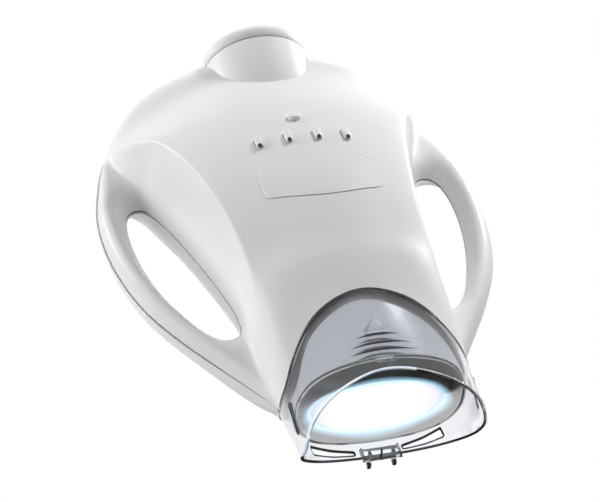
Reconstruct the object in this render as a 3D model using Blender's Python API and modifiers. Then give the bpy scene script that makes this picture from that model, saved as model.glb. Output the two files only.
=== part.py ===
# Teeth whitening lamp head. +X is its right, -Y its light outlet and +Z the way its front cover faces.
# Everything in the head is laid out from the covers' parting plane. The whole part then stands on the
# mouth of the arm socket, which lies on the axis that the head swivels about.
import math

import bmesh
import bpy
from mathutils import Matrix, Vector

# overall size of the covers, from the parting plane
half_width = 0.118
nose_length = 0.150
tail_length = 0.1685
crown_height = 0.0715
belly_depth = 0.037
waist = 0.040

# general
full_turn = math.radians(360)
facing_nose = (math.pi / 2, 0, 0)
facing_tail = (-math.pi / 2, 0, 0)
gap = 0.0003
overrun = 0.020
merge_distance = 0.00001
smooth_angle = math.radians(35)

# moulded covers
cover_wall = 0.0024
parting_gap = 0.0005
skirt = 0.003
deck_height = 0.012
grip_depth = 0.0125
ridge_inset = 0.0095
ridge_round = 0.0022
crease_in = 0.007
crease_down = 0.008
wall_lean = 0.004
tail_roundness = 2.5
dome_roundness = 6.0
belly_roundness = 3.5
dome_side_fall_share = 0.45
crown_power = 2.1

# rails along the covers: (share of the reach, share of the height or half width)
crown_shares = [(-1.03, 0.645), (-0.9, 0.71), (-0.74, 0.79), (-0.5, 0.885), (-0.25, 0.957), (0.06, 1.0),
                (0.23, 0.99), (0.42, 0.952), (0.57, 0.915), (0.75, 0.885), (1.0, 0.86)]
crease_x_shares = [(-0.8, 0.443), (-0.65, 0.44), (-0.5, 0.438), (-0.33, 0.448), (-0.1, 0.49), (0.09, 0.54),
                   (0.23, 0.585), (0.33, 0.635), (0.42, 0.705), (0.52, 0.775), (0.67, 0.845)]
crease_z_shares = [(-0.8, 0.51), (-0.65, 0.57), (-0.5, 0.65), (-0.33, 0.735), (-0.1, 0.79), (0.09, 0.785),
                   (0.23, 0.75), (0.33, 0.70), (0.42, 0.61), (0.52, 0.45), (0.67, 0.17)]
slot_in_shares = [(-1.0, 0.40), (-0.8, 0.425), (-0.5, 0.445), (-0.33, 0.462), (-0.13, 0.52), (0.08, 0.59),
                  (0.23, 0.66), (0.33, 0.725), (0.42, 0.76), (0.67, 0.80)]
slot_out_shares = [(-1.0, 0.41), (-0.8, 0.46), (-0.5, 0.605), (-0.33, 0.70), (-0.13, 0.785), (0.08, 0.83),
                   (0.23, 0.84), (0.33, 0.82), (0.42, 0.82), (0.67, 0.85)]
outline_shares = [(-1.0, 0.40), (-0.9, 0.417), (-0.79, 0.50), (-0.69, 0.587), (-0.53, 0.712), (-0.39, 0.827),
                  (-0.24, 0.905), (-0.1, 0.952), (0.02, 0.983), (0.17, 1.0), (0.28, 0.998), (0.43, 0.968),
                  (0.57, 0.925), (0.67, 0.889)]
belly_shares = [(-1.0, 0.53), (-0.87, 0.56), (-0.72, 0.68), (-0.5, 0.87), (-0.25, 0.98), (0.0, 1.0),
                (0.4, 0.97), (0.7, 0.85), (1.0, 0.7)]

# front cover's rows at the nose, crown to outline: shares of half width, nose reach and crown height
nose_row_shares = [
    [(0, 0.74, 0.793), (0.205, 0.8, 0.743), (0.368, 0.923, 0.554), (0.406, 0.977, 0.45),
     (0.434, 0.993, 0.314), (0.433, 0.967, 0.171), (0.43, 0.94, 0.114), (0.427, 0.927, 0.086),
     (0.425, 0.917, 0.057), (0.422, 0.907, 0.029), (0.419, 0.897, 0)],
    [(0, 0.673, 0.829), (0.205, 0.72, 0.757), (0.359, 0.84, 0.6), (0.423, 0.873, 0.5), (0.447, 0.887, 0.357),
     (0.457, 0.873, 0.214), (0.462, 0.86, 0.164), (0.466, 0.853, 0.15), (0.47, 0.843, 0.129),
     (0.474, 0.837, 0.086), (0.474, 0.827, 0)],
    [(0, 0.553, 0.875), (0.23, 0.56, 0.829), (0.379, 0.567, 0.721), (0.438, 0.567, 0.621),
     (0.449, 0.567, 0.471), (0.449, 0.56, 0.186), (0.496, 0.56, 0.164), (0.573, 0.553, 0.164),
     (0.632, 0.553, 0.171), (0.679, 0.56, 0.136), (0.692, 0.56, 0)],
]

# front cover's rows beside and behind the hand slots: share of the reach
slot_row_shares = [-0.49, -0.3, -0.05, 0.18, 0.325]
# rows of the shoulder, then for each the slope's foot to the outline: shares of half width and crown height
shoulder_row_shares = [0.395, 0.515, 0.655]
shoulder_shares = [
    [(0.709, 0.15), (0.744, 0.136), (0.812, 0.136), (0.889, 0.171), (0.953, 0.143), (0.972, 0)],
    [(0.799, 0.129), (0.821, 0.114), (0.846, 0.121), (0.88, 0.143), (0.923, 0.121), (0.942, 0)],
    [(0.862, 0.1), (0.87, 0.079), (0.876, 0.057), (0.882, 0.04), (0.888, 0.021), (0.893, 0)],
]

# fan of rows round the tail, and how far out each column lies on its ray
tail_turn_shares = [0.18, 0.38, 0.6, 0.8, 1.0]
tail_ring_shares = [0.0, 0.5, 0.78, 0.86, 0.9, 0.93, 0.955, 0.975, 0.988, 0.997, 1.0]
tail_hub_share = 0.70
nose_overrun_share = 0.4

# rear cover: its edge at the nose, its other rows, and its rings round the tail
rear_nose_shares = [(0, 0.867, 0.286), (0.24, 0.867, 0.271), (0.35, 0.873, 0.214), (0.395, 0.88, 0.157),
                    (0.41, 0.887, 0.114), (0.415, 0.89, 0.079), (0.418, 0.893, 0.043), (0.42, 0.897, 0)]
rear_row_shares = [-0.827, -0.56, -0.49, -0.3, -0.05, 0.18, 0.325, 0.395, 0.515, 0.655]
rear_ring_shares = [0.0, 0.45, 0.72, 0.84, 0.91, 0.96, 0.99, 1.0]

# screw posts that join the covers: shares of half width and of reach
post_shares = [(0.53, -0.62), (0.84, 0.435)]
post_radius = 0.005
post_split = 0.001
screw_bore = 0.0018
counterbore = 0.0038
counterbore_floor = 0.0065

# cooling slots in the rear cover
vent_count = 6
vent_width = 0.0025
vent_pitch = 0.007
vent_length = 0.046
vent_y_share = -0.32

# neck, its seam with the swivelling cap, and the shaft inside
neck_tilt = math.radians(24)
neck_setback = 0.0301
neck_y = tail_length - neck_setback
neck_z = 0.0465
neck_radius = 0.0335
neck_depth = 0.046
neck_wall = 0.003
neck_clearance = 0.0004
flange_rim = 0.0018
flange_thickness = 0.003
web_top = 0.014
web_thickness = 0.006
seam_gap = 0.0008
cap_length = 0.012
cap_round = 0.008
socket_radius = 0.014
socket_depth = 0.0087
hub_radius = 0.015
hub_depth = 0.0105
shaft_radius = 0.009
shaft_reach = 0.027
shaft_bore = 0.0055
collar_radius = 0.013
collar_thickness = 0.002
bush_wall = 0.0025
bush_flange = 0.0012
bush_brim = 0.0025
washer_thickness = 0.001
nut_thickness = 0.003
nut_radius = 0.0145

# light guide and what it covers; rings run from the top round the right side to the bottom
nose_width_share = 0.4322
nose_half_width = half_width * nose_width_share
ring_shares = [(0, 0.74, 0.793), (0.275, 0.763, 0.77), (0.55, 0.807, 0.687), (0.745, 0.873, 0.619),
               (0.863, 0.933, 0.537), (0.95, 0.987, 0.42), (1.0, 0.993, 0.314), (0.995, 0.967, 0.171),
               (0.98, 0.933, 0.057), (0.96, 0.9, -0.07), (0.863, 0.88, -0.179), (0.55, 0.87, -0.243),
               (0, 0.867, -0.286)]
guide_wall = 0.0018
guide_gap = 0.0006
nose_cut_depth = 0.010
rim_inset = 0.0033
rim_half_width = nose_half_width - rim_inset
rim_height = 0.031
rim_middle = 0.0132
rim_overhang = 0.014
rim_length = nose_length + rim_overhang
rim_sweep = 0.0225
guide_waist_share = 0.5
rim_power = 4.0
sweep_power = 1.6
sweep_rise_share = 1.1
clip_size = (0.016, 0.007, 0.005)
clip_overhang = 0.00175
clip_lift = 0.00125
collar_inset = 0.0036
collar_tuck = 0.006
collar_wall = 0.0018
collar_side_inset = 0.0042
collar_half_width = nose_half_width - collar_side_inset
collar_height = 0.0296
collar_middle = 0.0126
collar_overhang = 0.001
collar_length = nose_length + collar_overhang
collar_sweep = 0.0035
collar_power = 2.6
reflector_wall = 0.0015
reflector_depth = 0.004
reflector_width = 0.0053
mouth_half_width = collar_half_width - reflector_width
mouth_height = 0.020
mouth_middle = 0.0105
lens_thickness = 0.003
gasket_depth = 0.005
gasket_lip = 0.0015

# light source, cooling and electronics
board_thickness = 0.0016
led_size = (0.060, 0.034)
emitter_size = (0.044, 0.022, 0.0022)
sink_size = (0.066, 0.030, 0.040)
sink_base = 0.005
fin_count = 10
fin_slot = 0.0036
fin_margin_share = 0.5
sink_setback = 0.036
sink_y = sink_setback - nose_length
sink_rest_share = 0.3
source_z = 0.0105
fan_size = 0.050
fan_depth = 0.015
fan_bore = 0.0235
fan_hub = 0.010
blade_count = 7
blade_thickness = 0.0012
blade_depth = 0.009
blade_tilt = math.radians(35)
strut_count = 3
strut_width = 0.003
strut_depth = 0.0025
blade_clearance = 0.001
chassis_fan_gap = 0.012
chassis_neck_gap = 0.0454
chassis_front = sink_y + sink_size[1] + fan_depth + chassis_fan_gap
chassis_back = neck_y - chassis_neck_gap
chassis_size = (0.084, chassis_back - chassis_front, 0.002)
chassis_y = (chassis_front + chassis_back) / 2
chassis_z = 0.0075
leg_radius = 0.004
leg_shares = [(0.36, 0.36), (0.36, -0.36)]
pillar_radius = 0.003
pillar_inset = 0.004
control_length_share = 0.368
control_y_share = 0.1691
control_size = (0.078, tail_length * control_length_share)
control_y = tail_length * control_y_share
control_z = 0.055
switch_side = 0.006
switch_height = 0.0032

# keys on the front cover
key_y_share = 0.1039
key_y = tail_length * key_y_share
key_pitch = 0.0173
key_count = 4
key_size = (0.0043, 0.011)
key_rise = 0.002
button_y_share = 0.2297
button_y = tail_length * button_y_share
button_radius = 0.0037
button_rise = 0.0013
key_travel = 0.001
key_clearance = 0.0003
key_brim = 0.0015
key_brim_gap = 0.0006
key_brim_thickness = 0.0014
key_stem = 0.0016
key_standoff = 0.0008

white_abs = ((0.80, 0.80, 0.80), 0.38, 0.0)
silver_paint = ((0.40, 0.41, 0.42), 0.3, 0.8)
clear_plastic = ((0.85, 0.87, 0.90), 0.05, 0.0)
bright_metal = ((0.75, 0.75, 0.75), 0.2, 1.0)
lit_lens = ((0.92, 0.96, 1.0), 0.2, 0.0)
dark_rubber = ((0.05, 0.05, 0.05), 0.8, 0.0)
steel = ((0.45, 0.45, 0.46), 0.35, 1.0)
bearing_plastic = ((0.75, 0.72, 0.62), 0.5, 0.0)
aluminium = ((0.62, 0.63, 0.64), 0.4, 1.0)
circuit_green = ((0.03, 0.16, 0.07), 0.5, 0.0)
black_plastic = ((0.03, 0.03, 0.03), 0.5, 0.0)

parts = bpy.data.collections.new("whitening_lamp_head")
cutters = bpy.data.collections.new("cutters")


def rail(shares, place):
    """Smooth curve through pairs of shares."""
    spots = [spot for spot, value in shares]
    values = [value for spot, value in shares]
    place = min(max(place, spots[0]), spots[-1])
    k = max(i for i in range(len(spots) - 1) if spots[i] <= place)
    step = spots[k + 1] - spots[k]

    def slope(i):
        low, high = max(i - 1, 0), min(i + 1, len(spots) - 1)
        return (values[high] - values[low]) / (spots[high] - spots[low])

    t = (place - spots[k]) / step
    rise = values[k + 1] - values[k]
    bend = slope(k) * t * (1 - t) ** 2 - slope(k + 1) * t * t * (1 - t)
    return values[k] + rise * t * t * (3 - 2 * t) + step * bend


def reach(share):
    return share * (nose_length if share < 0 else tail_length)


def share_of(y):
    return y / (nose_length if y < 0 else tail_length)


def crown(share):
    return crown_height * rail(crown_shares, share)


def apron(x, share):
    """Height of the front cover between its two creases."""
    edge_x = half_width * rail(crease_x_shares, share)
    edge_z = crown_height * rail(crease_z_shares, share)
    return crown(share) - (crown(share) - edge_z) * (abs(x) / edge_x) ** crown_power


def height_on(cover, x, y, side):
    """Height of a cover's outer surface."""
    graph = bpy.context.evaluated_depsgraph_get()
    start = Vector((x, y, side * (crown_height + overrun)))
    found, spot, normal, face = cover.evaluated_get(graph).ray_cast(start, Vector((0, 0, -side)))
    return spot.z


def post_end(cover, x, y, side):
    """Height inside a cover's wall, at its lowest place over the post."""
    spots = [(x, y), (x - post_radius, y), (x + post_radius, y), (x, y - post_radius), (x, y + post_radius)]
    return side * (min(side * height_on(cover, a, b, side) for a, b in spots) - cover_wall / 2)


def tail_outline(turn_share):
    start_y = reach(shoulder_row_shares[-1])
    start = math.asin(((start_y - waist) / (tail_length - waist)) ** (tail_roundness / 2))
    turn = start + (math.pi / 2 - start) * turn_share
    grow = 2 / tail_roundness
    return half_width * max(math.cos(turn), 0) ** grow, waist + (tail_length - waist) * math.sin(turn) ** grow


def dome(x, y):
    """Height of the front cover's tail."""
    radius = ((abs(x) / half_width) ** tail_roundness
              + (max(y - waist, 0) / (tail_length - waist)) ** tail_roundness) ** (1 / tail_roundness)
    side = 1 - dome_side_fall_share * (x / half_width) ** 2
    return crown(share_of(y)) * side * max(1 - radius ** dome_roundness, 0) ** 0.5


def tail_rows(rings, height):
    """Rows that fan round the tail. The last ring is the outline, past the parting plane."""
    rows = []
    hub = tail_length * tail_hub_share
    for turn_share in tail_turn_shares:
        out_x, out_y = tail_outline(turn_share)
        spots = [(out_x * ring, hub + (out_y - hub) * ring) for ring in rings]
        rows.append([(x, y, height(x, y, ring)) for (x, y), ring in zip(spots, rings)])
    return rows


def past_the_edge(rows):
    """Carries the first row on past the nose edge, so that the cut along the edge meets whole surface."""
    ahead = [Vector(spot) + (Vector(spot) - Vector(after)) * nose_overrun_share
             for spot, after in zip(rows[0], rows[1])]
    return [[(x, y, z) for x, y, z in ahead]] + rows[1:]


def front_rows():
    """Cage of the front cover's right half, nose to tail, each row from the crown to the outline."""
    rows = []
    for shares in nose_row_shares:
        rows.append([(x * half_width, -y * nose_length, z * crown_height or -skirt) for x, y, z in shares])
    for share in slot_row_shares + shoulder_row_shares:
        crease_x = half_width * rail(crease_x_shares, share)
        crease_z = crown_height * rail(crease_z_shares, share)
        inner_x, side_x = crease_x / 2, crease_x - crease_in
        row = [(0, crown(share)), (inner_x, apron(inner_x, share)), (side_x, apron(side_x, share)),
               (crease_x, crease_z)]
        if share in slot_row_shares:
            inside = half_width * rail(slot_in_shares, share)
            outside = half_width * rail(slot_out_shares, share)
            outer = half_width * rail(outline_shares, share)
            foot_x = inside - wall_lean / 2
            row += [((crease_x + foot_x) / 2, crease_z - crease_down), (foot_x, deck_height)]
            row += [(inside, -skirt), (outside, -skirt), (outer - ridge_inset, deck_height),
                    (outer - ridge_round, deck_height - ridge_round), (outer, -skirt)]
        else:
            lower = [(x * half_width, z * crown_height or -skirt)
                     for x, z in shoulder_shares[shoulder_row_shares.index(share)]]
            row += [((crease_x + lower[0][0]) / 2, (crease_z + lower[0][1]) / 2)] + lower
        rows.append([(x, reach(share), z) for x, z in row])

    def height(x, y, ring):
        return dome(x, y) if ring < 1 else -skirt

    return past_the_edge(rows) + tail_rows(tail_ring_shares, height)


def belly(share):
    return belly_depth * rail(belly_shares, share)


def rear_rows():
    """Cage of the rear cover's right half, nose to tail, each row from the outline to the middle."""
    rows = [[(x * half_width, -y * nose_length, -z * crown_height or skirt) for x, y, z in rear_nose_shares]]
    for share in rear_row_shares:
        inside = half_width * rail(slot_in_shares, share)
        outside = half_width * rail(slot_out_shares, share)
        outer = half_width * rail(outline_shares, share)
        depth = belly(share)
        slot = slot_row_shares[0] <= share <= slot_row_shares[-1]
        if share > rear_row_shares[-3]:
            row = [(outer * ring, -depth * (1 - ring ** belly_roundness) ** 0.5 if ring < 1 else skirt)
                   for ring in rear_ring_shares]
        else:
            row = [(0, -depth), (inside / 2, -depth), (inside - wall_lean * 2, -(depth + grip_depth) / 2),
                   (inside - wall_lean / 2, -grip_depth), (inside, skirt if slot else -grip_depth),
                   (outside, skirt if slot else -grip_depth),
                   (max(outer - wall_lean, (outside + outer) / 2), -grip_depth), (outer, skirt)]
        rows.append([(x, reach(share), z) for x, z in row])

    def height(x, y, ring):
        return -belly(share_of(y)) * (1 - ring ** belly_roundness) ** 0.5 if ring < 1 else skirt

    return [row[::-1] for row in past_the_edge(rows) + tail_rows(rear_ring_shares, height)]


def skin(name, rows, open_cells=()):
    """Surface over rows of points. Its front is the side from which a row and its follower turn clockwise."""
    mesh = bpy.data.meshes.new(name)
    build = bmesh.new()
    grid = [[build.verts.new(spot) for spot in row] for row in rows]
    for i in range(len(grid) - 1):
        for j in range(len(grid[i]) - 1):
            if (i, j) not in open_cells:
                build.faces.new([grid[i][j], grid[i][j + 1], grid[i + 1][j + 1], grid[i + 1][j]])
    bmesh.ops.remove_doubles(build, verts=build.verts, dist=merge_distance)
    build.to_mesh(mesh)
    build.free()
    mesh.shade_smooth()
    return mesh


def material(name, look):
    made = bpy.data.materials.new(name)
    made.use_nodes = True
    shader = made.node_tree.nodes["Principled BSDF"]
    colour, roughness, metallic = look
    shader.inputs["Base Color"].default_value = (*colour, 1)
    shader.inputs["Roughness"].default_value = roughness
    shader.inputs["Metallic"].default_value = metallic
    return made


def add(name, mesh, parent, look=None, at=(0, 0, 0), turn=(0, 0, 0)):
    """A piece of the lamp, or a cutter when it has no look."""
    obj = bpy.data.objects.new(name, mesh)
    (parts if look else cutters).objects.link(obj)
    obj.parent = parent
    obj.location = at
    obj.rotation_euler = turn
    if look:
        mesh.materials.append(material(name, look))
    else:
        obj.hide_render = True
        obj.display_type = "WIRE"
    return obj


def empty(name, parent=None, at=(0, 0, 0), turn=(0, 0, 0)):
    frame = bpy.data.objects.new(name, None)
    parts.objects.link(frame)
    frame.parent = parent
    frame.location = at
    frame.rotation_euler = turn
    return frame


def box(size, centre=(0, 0, 0)):
    mesh = bpy.data.meshes.new("box")
    build = bmesh.new()
    bmesh.ops.create_cube(build, size=1)
    bmesh.ops.scale(build, vec=size, verts=build.verts)
    bmesh.ops.translate(build, vec=centre, verts=build.verts)
    build.to_mesh(mesh)
    build.free()
    return mesh


def smoothed(mesh):
    """Shades round sides smooth and keeps the corners sharp."""
    mesh.shade_smooth()
    mesh.set_sharp_from_angle(angle=smooth_angle)
    return mesh


def rod(radius, low, high, sides=20, stretch=1):
    """Cylinder along Z, with its Y radius stretched."""
    mesh = bpy.data.meshes.new("rod")
    build = bmesh.new()
    bmesh.ops.create_cone(build, cap_ends=True, segments=sides, radius1=radius, radius2=radius,
                          depth=high - low)
    bmesh.ops.scale(build, vec=(1, stretch, 1), verts=build.verts)
    bmesh.ops.translate(build, vec=(0, 0, (low + high) / 2), verts=build.verts)
    build.to_mesh(mesh)
    build.free()
    return smoothed(mesh)


def pill(size, low, high, sides=16):
    """Bar with half-round ends, along Y, standing along Z."""
    width, length = size
    mesh = bpy.data.meshes.new("pill")
    build = bmesh.new()
    made = bmesh.ops.create_cone(build, cap_ends=True, segments=sides, radius1=width / 2, radius2=width / 2,
                                 depth=high - low)
    for vert in made["verts"]:
        vert.co.z += (low + high) / 2
        vert.co.y += math.copysign((length - width) / 2, vert.co.y)
    build.to_mesh(mesh)
    build.free()
    return smoothed(mesh)


def turned(name, profile, parent, look, steps=24):
    """Profile of (radius, height) points, down its outer side, turned about Z."""
    mesh = bpy.data.meshes.new(name)
    count = len(profile)
    mesh.from_pydata([(radius, 0, height) for radius, height in profile],
                     [(i, (i + 1) % count) for i in range(count)], [])
    obj = add(name, mesh, parent, look)
    screw = obj.modifiers.new("turn", "SCREW")
    screw.steps = screw.render_steps = steps
    screw.use_merge_vertices = True
    screw.merge_threshold = merge_distance
    screw.use_smooth_shade = True
    return obj


def boolean(obj, other, operation="DIFFERENCE"):
    cut = obj.modifiers.new(other.name, "BOOLEAN")
    cut.operation = operation
    cut.object = other
    return cut


def shell(obj, wall, mirrored=True, levels=1):
    if mirrored:
        obj.modifiers.new("mirror", "MIRROR").merge_threshold = merge_distance
    smooth = obj.modifiers.new("smooth", "SUBSURF")
    smooth.levels = smooth.render_levels = levels
    solid = obj.modifiers.new("wall", "SOLIDIFY")
    solid.thickness = wall
    solid.offset = -1
    solid.use_even_offset = True
    return obj


def clear_scene():
    for old in list(bpy.data.objects):
        bpy.data.objects.remove(old, do_unlink=True)
    bpy.context.scene.collection.children.link(parts)
    bpy.context.scene.collection.children.link(cutters)


def key_places(cover):
    """Centre of each key on the front cover, with its tilt and its outline: the start button first."""
    places = [("start_button", 0, button_y, (2 * button_radius, 2 * button_radius), button_rise)]
    for number in range(key_count):
        x = (number - (key_count - 1) / 2) * key_pitch
        places.append((f"session_key_{number + 1}", x, key_y, key_size, key_rise))
    settled = []
    for name, x, y, size, rise in places:
        low, high = height_on(cover, x + size[0], y, 1), height_on(cover, x - size[0], y, 1)
        tilt = math.atan((high - low) / (2 * size[0]))
        settled.append((name, (x, y, height_on(cover, x, y, 1)), tilt, size, rise))
    return settled


def make_covers(layout):
    open_rows = range(len(nose_row_shares), len(nose_row_shares) + len(slot_row_shares) - 1)
    slot_cells = {(i, 6) for i in open_rows}
    front = add("front_cover", skin("front_cover", front_rows(), slot_cells), layout, white_abs)
    shell(front, cover_wall)
    inside = [i + 1 for i, share in enumerate(rear_row_shares[:-1])
              if slot_row_shares[0] <= share < slot_row_shares[-1]]
    rear = add("rear_cover", skin("rear_cover", rear_rows(), {(i, 2) for i in inside}), layout, white_abs)
    shell(rear, cover_wall)
    bpy.context.view_layer.update()
    places = key_places(front)
    ends = {}
    for x_share, y_share in post_shares:
        x, y = x_share * half_width, reach(y_share)
        ends[x_share] = post_end(front, x, y, 1), post_end(rear, x, y, -1)
    wide, long = half_width * 2 + overrun, nose_length + tail_length + overrun
    for cover, side in ((front, -1), (rear, 1)):
        middle = (0, (tail_length - nose_length) / 2, side * (overrun - parting_gap) / 2)
        trim = add(cover.name + "_trim", box((wide, long, overrun), middle), layout)
        boolean(cover, trim)
    below = -belly_depth - overrun
    for number, (x_share, y_share) in enumerate(post_shares):
        for side in (-1, 1):
            at = (side * x_share * half_width, reach(y_share), 0)
            tag = f"{number}_{'left' if side < 0 else 'right'}"
            top, bottom = ends[x_share]
            front_post = rod(post_radius, -post_split + gap, top, 12)
            rear_post = rod(post_radius, bottom, -post_split, 12)
            front_bore = rod(screw_bore, -overrun, top - cover_wall, 8)
            head_bore = rod(counterbore, below, -counterbore_floor, 12)
            boolean(front, add("front_post_" + tag, front_post, layout, at=at), "UNION")
            boolean(rear, add("rear_post_" + tag, rear_post, layout, at=at), "UNION")
            boolean(front, add("front_bore_" + tag, front_bore, layout, at=at))
            boolean(rear, add("rear_bore_" + tag, rod(screw_bore, below, overrun, 8), layout, at=at))
            boolean(rear, add("counterbore_" + tag, head_bore, layout, at=at))
    return front, rear, places


def make_vents(layout, rear):
    low = -belly_depth - overrun
    for number in range(vent_count):
        x = (number - (vent_count - 1) / 2) * vent_pitch
        slot = add(f"vent_{number + 1}", pill((vent_width, vent_length), low, low + 2 * overrun, 8), layout,
                   at=(x, reach(vent_y_share), 0))
        boolean(rear, slot)


def make_keys(layout, front, places):
    contact = control_z + board_thickness + switch_height + key_travel + key_standoff
    for name, at, tilt, size, rise in places:
        frame = empty(name + "_axis", layout, at, (0, tilt, 0))
        round_key = size[0] == size[1]
        grown = tuple(side + 2 * key_clearance for side in size)
        brim_top = -cover_wall - key_brim_gap
        sides = 16 if round_key else 12
        boolean(front, add(name + "_hole", pill(grown, -overrun / 2, overrun / 2, sides), frame))
        key = add(name, pill(size, brim_top - key_clearance, rise, sides), frame, white_abs)
        brim = box((size[0] + 2 * key_brim, size[1] + 2 * key_brim, key_brim_thickness),
                   (0, 0, brim_top - key_brim_thickness / 2))
        boolean(key, add(name + "_brim", brim, frame), "UNION")
        foot = -(at[2] - contact) / math.cos(tilt) + key_stem * abs(math.sin(tilt))
        boolean(key, add(name + "_stem", rod(key_stem, foot, brim_top - gap, 8), frame), "UNION")


def make_neck(layout, front, neck):
    inner = neck_radius - neck_wall
    foot = -neck_depth
    web_hole = shaft_radius + gap + bush_wall + gap
    profile = [(neck_radius, -seam_gap / 2), (neck_radius, foot + flange_thickness),
               (neck_radius + flange_rim, foot + flange_thickness), (neck_radius + flange_rim, foot),
               (inner, foot), (inner, -web_top - web_thickness), (web_hole, -web_top - web_thickness),
               (web_hole, -web_top), (inner, -web_top), (inner, -seam_gap / 2)]
    turned("neck_tube", profile, neck, white_abs, 20)
    hole = neck_radius + neck_clearance
    boolean(front, add("neck_hole", rod(hole, -neck_depth, neck_depth + overrun, 24), neck))
    corner = [(neck_radius - cap_round * (1 - math.cos(turn)), cap_length - cap_round * (1 - math.sin(turn)))
              for turn in (math.pi / 2, math.pi / 3, math.pi / 6, 0)]
    floor = cap_length - socket_depth
    fit = shaft_radius + gap
    profile = corner + [(neck_radius, seam_gap / 2), (hub_radius, seam_gap / 2), (hub_radius, -hub_depth),
                        (fit, -hub_depth), (fit, floor), (socket_radius, floor), (socket_radius, cap_length)]
    turned("swivel_cap", profile, neck, white_abs, 20)
    low = -shaft_reach
    seat = floor + gap
    profile = [(collar_radius, seat + collar_thickness), (collar_radius, seat), (shaft_radius, seat),
               (shaft_radius, low), (shaft_bore, low), (shaft_bore, seat + collar_thickness)]
    turned("swivel_shaft", profile, neck, steel, 14)
    sleeve = shaft_radius + gap
    out = sleeve + bush_wall
    middle = -web_top - web_thickness / 2
    top = -web_top + gap + bush_flange
    profile = [(out + bush_brim, top), (out + bush_brim, -web_top + gap), (out, -web_top + gap),
               (out, middle + gap / 2), (sleeve, middle + gap / 2), (sleeve, top)]
    turned("bush_outer", profile, neck, bearing_plastic, 14)
    low = -web_top - web_thickness - gap
    profile = [(out, middle - gap / 2), (out, low), (out + bush_brim, low),
               (out + bush_brim, low - bush_flange), (sleeve, low - bush_flange), (sleeve, middle - gap / 2)]
    turned("bush_inner", profile, neck, bearing_plastic, 14)
    washer_low = top + gap
    profile = [(hub_radius - gap, washer_low + washer_thickness), (hub_radius - gap, washer_low),
               (sleeve, washer_low), (sleeve, washer_low + washer_thickness)]
    turned("friction_washer", profile, neck, dark_rubber, 14)
    nut_top = low - bush_flange - gap
    nut = add("shaft_nut", rod(nut_radius, nut_top - nut_thickness, nut_top, 6), neck, steel)
    boolean(nut, add("nut_bore", rod(sleeve, -neck_depth, 0, 14), neck))


def superellipse(x_share, z_share, half, height, power):
    """Point of a superellipse on the ray that a ring's point gives."""
    size = (abs(x_share) ** power + abs(z_share) ** power) ** (1 / power)
    return half * x_share / size, height * z_share / size


def rays():
    """Direction of each ring point, seen along the head's length."""
    centre = (ring_shares[0][2] + ring_shares[-1][2]) / 2
    spread = (ring_shares[0][2] - ring_shares[-1][2]) / 2
    return [(x, (z - centre) / spread) for x, y, z in ring_shares]


def edge_ring(inset, forward):
    """The covers' edge at the nose, drawn in towards its middle and moved forward."""
    middle = crown_height * (ring_shares[0][2] + ring_shares[-1][2]) / 2
    ring = []
    for x, y, z in ring_shares:
        spot = Vector((x * nose_half_width, -y * nose_length - forward, z * crown_height))
        inward = Vector((-spot.x, 0, middle - spot.z)).normalized()
        ring.append(spot + inward * inset)
    return ring


def oval_ring(half, height, middle, front, sweep, power):
    ring = []
    for x_share, z_share in rays():
        x, z = superellipse(x_share, z_share, half, height, power)
        swept = min((z / height + 1) / sweep_rise_share, 1)
        ring.append(Vector((x, -front - sweep * swept * (x / half) ** sweep_power, middle + z)))
    return ring


def blend(ring, other, share):
    return [a.lerp(b, share) for a, b in zip(ring, other)]


def whole_ring(half_ring):
    """A ring's right half and its mirror image, rounded as one pass of subdivision rounds an open edge."""
    ring = half_ring + [Vector((-spot.x, spot.y, spot.z)) for spot in half_ring[-2:0:-1]]
    rounded = []
    for k, spot in enumerate(ring):
        before, after = ring[k - 1], ring[(k + 1) % len(ring)]
        rounded += [(before + spot * 6 + after) / 8, (spot + after) / 2]
    return rounded


def edge_cutter(name, layout, near, far):
    """Ring round the nose edge, between two places ahead of it, that walls up to its depth run through."""
    loops = [whole_ring(edge_ring(nose_cut_depth, near)), whole_ring(edge_ring(-nose_cut_depth, near)),
             whole_ring(edge_ring(-nose_cut_depth, far)), whole_ring(edge_ring(nose_cut_depth, far))]
    mesh = bpy.data.meshes.new(name)
    build = bmesh.new()
    grid = [[build.verts.new(spot) for spot in loop] for loop in loops]
    for i in range(len(grid)):
        inner, outer = grid[i], grid[(i + 1) % len(grid)]
        for j in range(len(inner)):
            k = (j + 1) % len(inner)
            build.faces.new([inner[j], inner[k], outer[k], outer[j]])
    bmesh.ops.recalc_face_normals(build, faces=build.faces)
    build.to_mesh(mesh)
    build.free()
    return add(name, mesh, layout)


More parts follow.
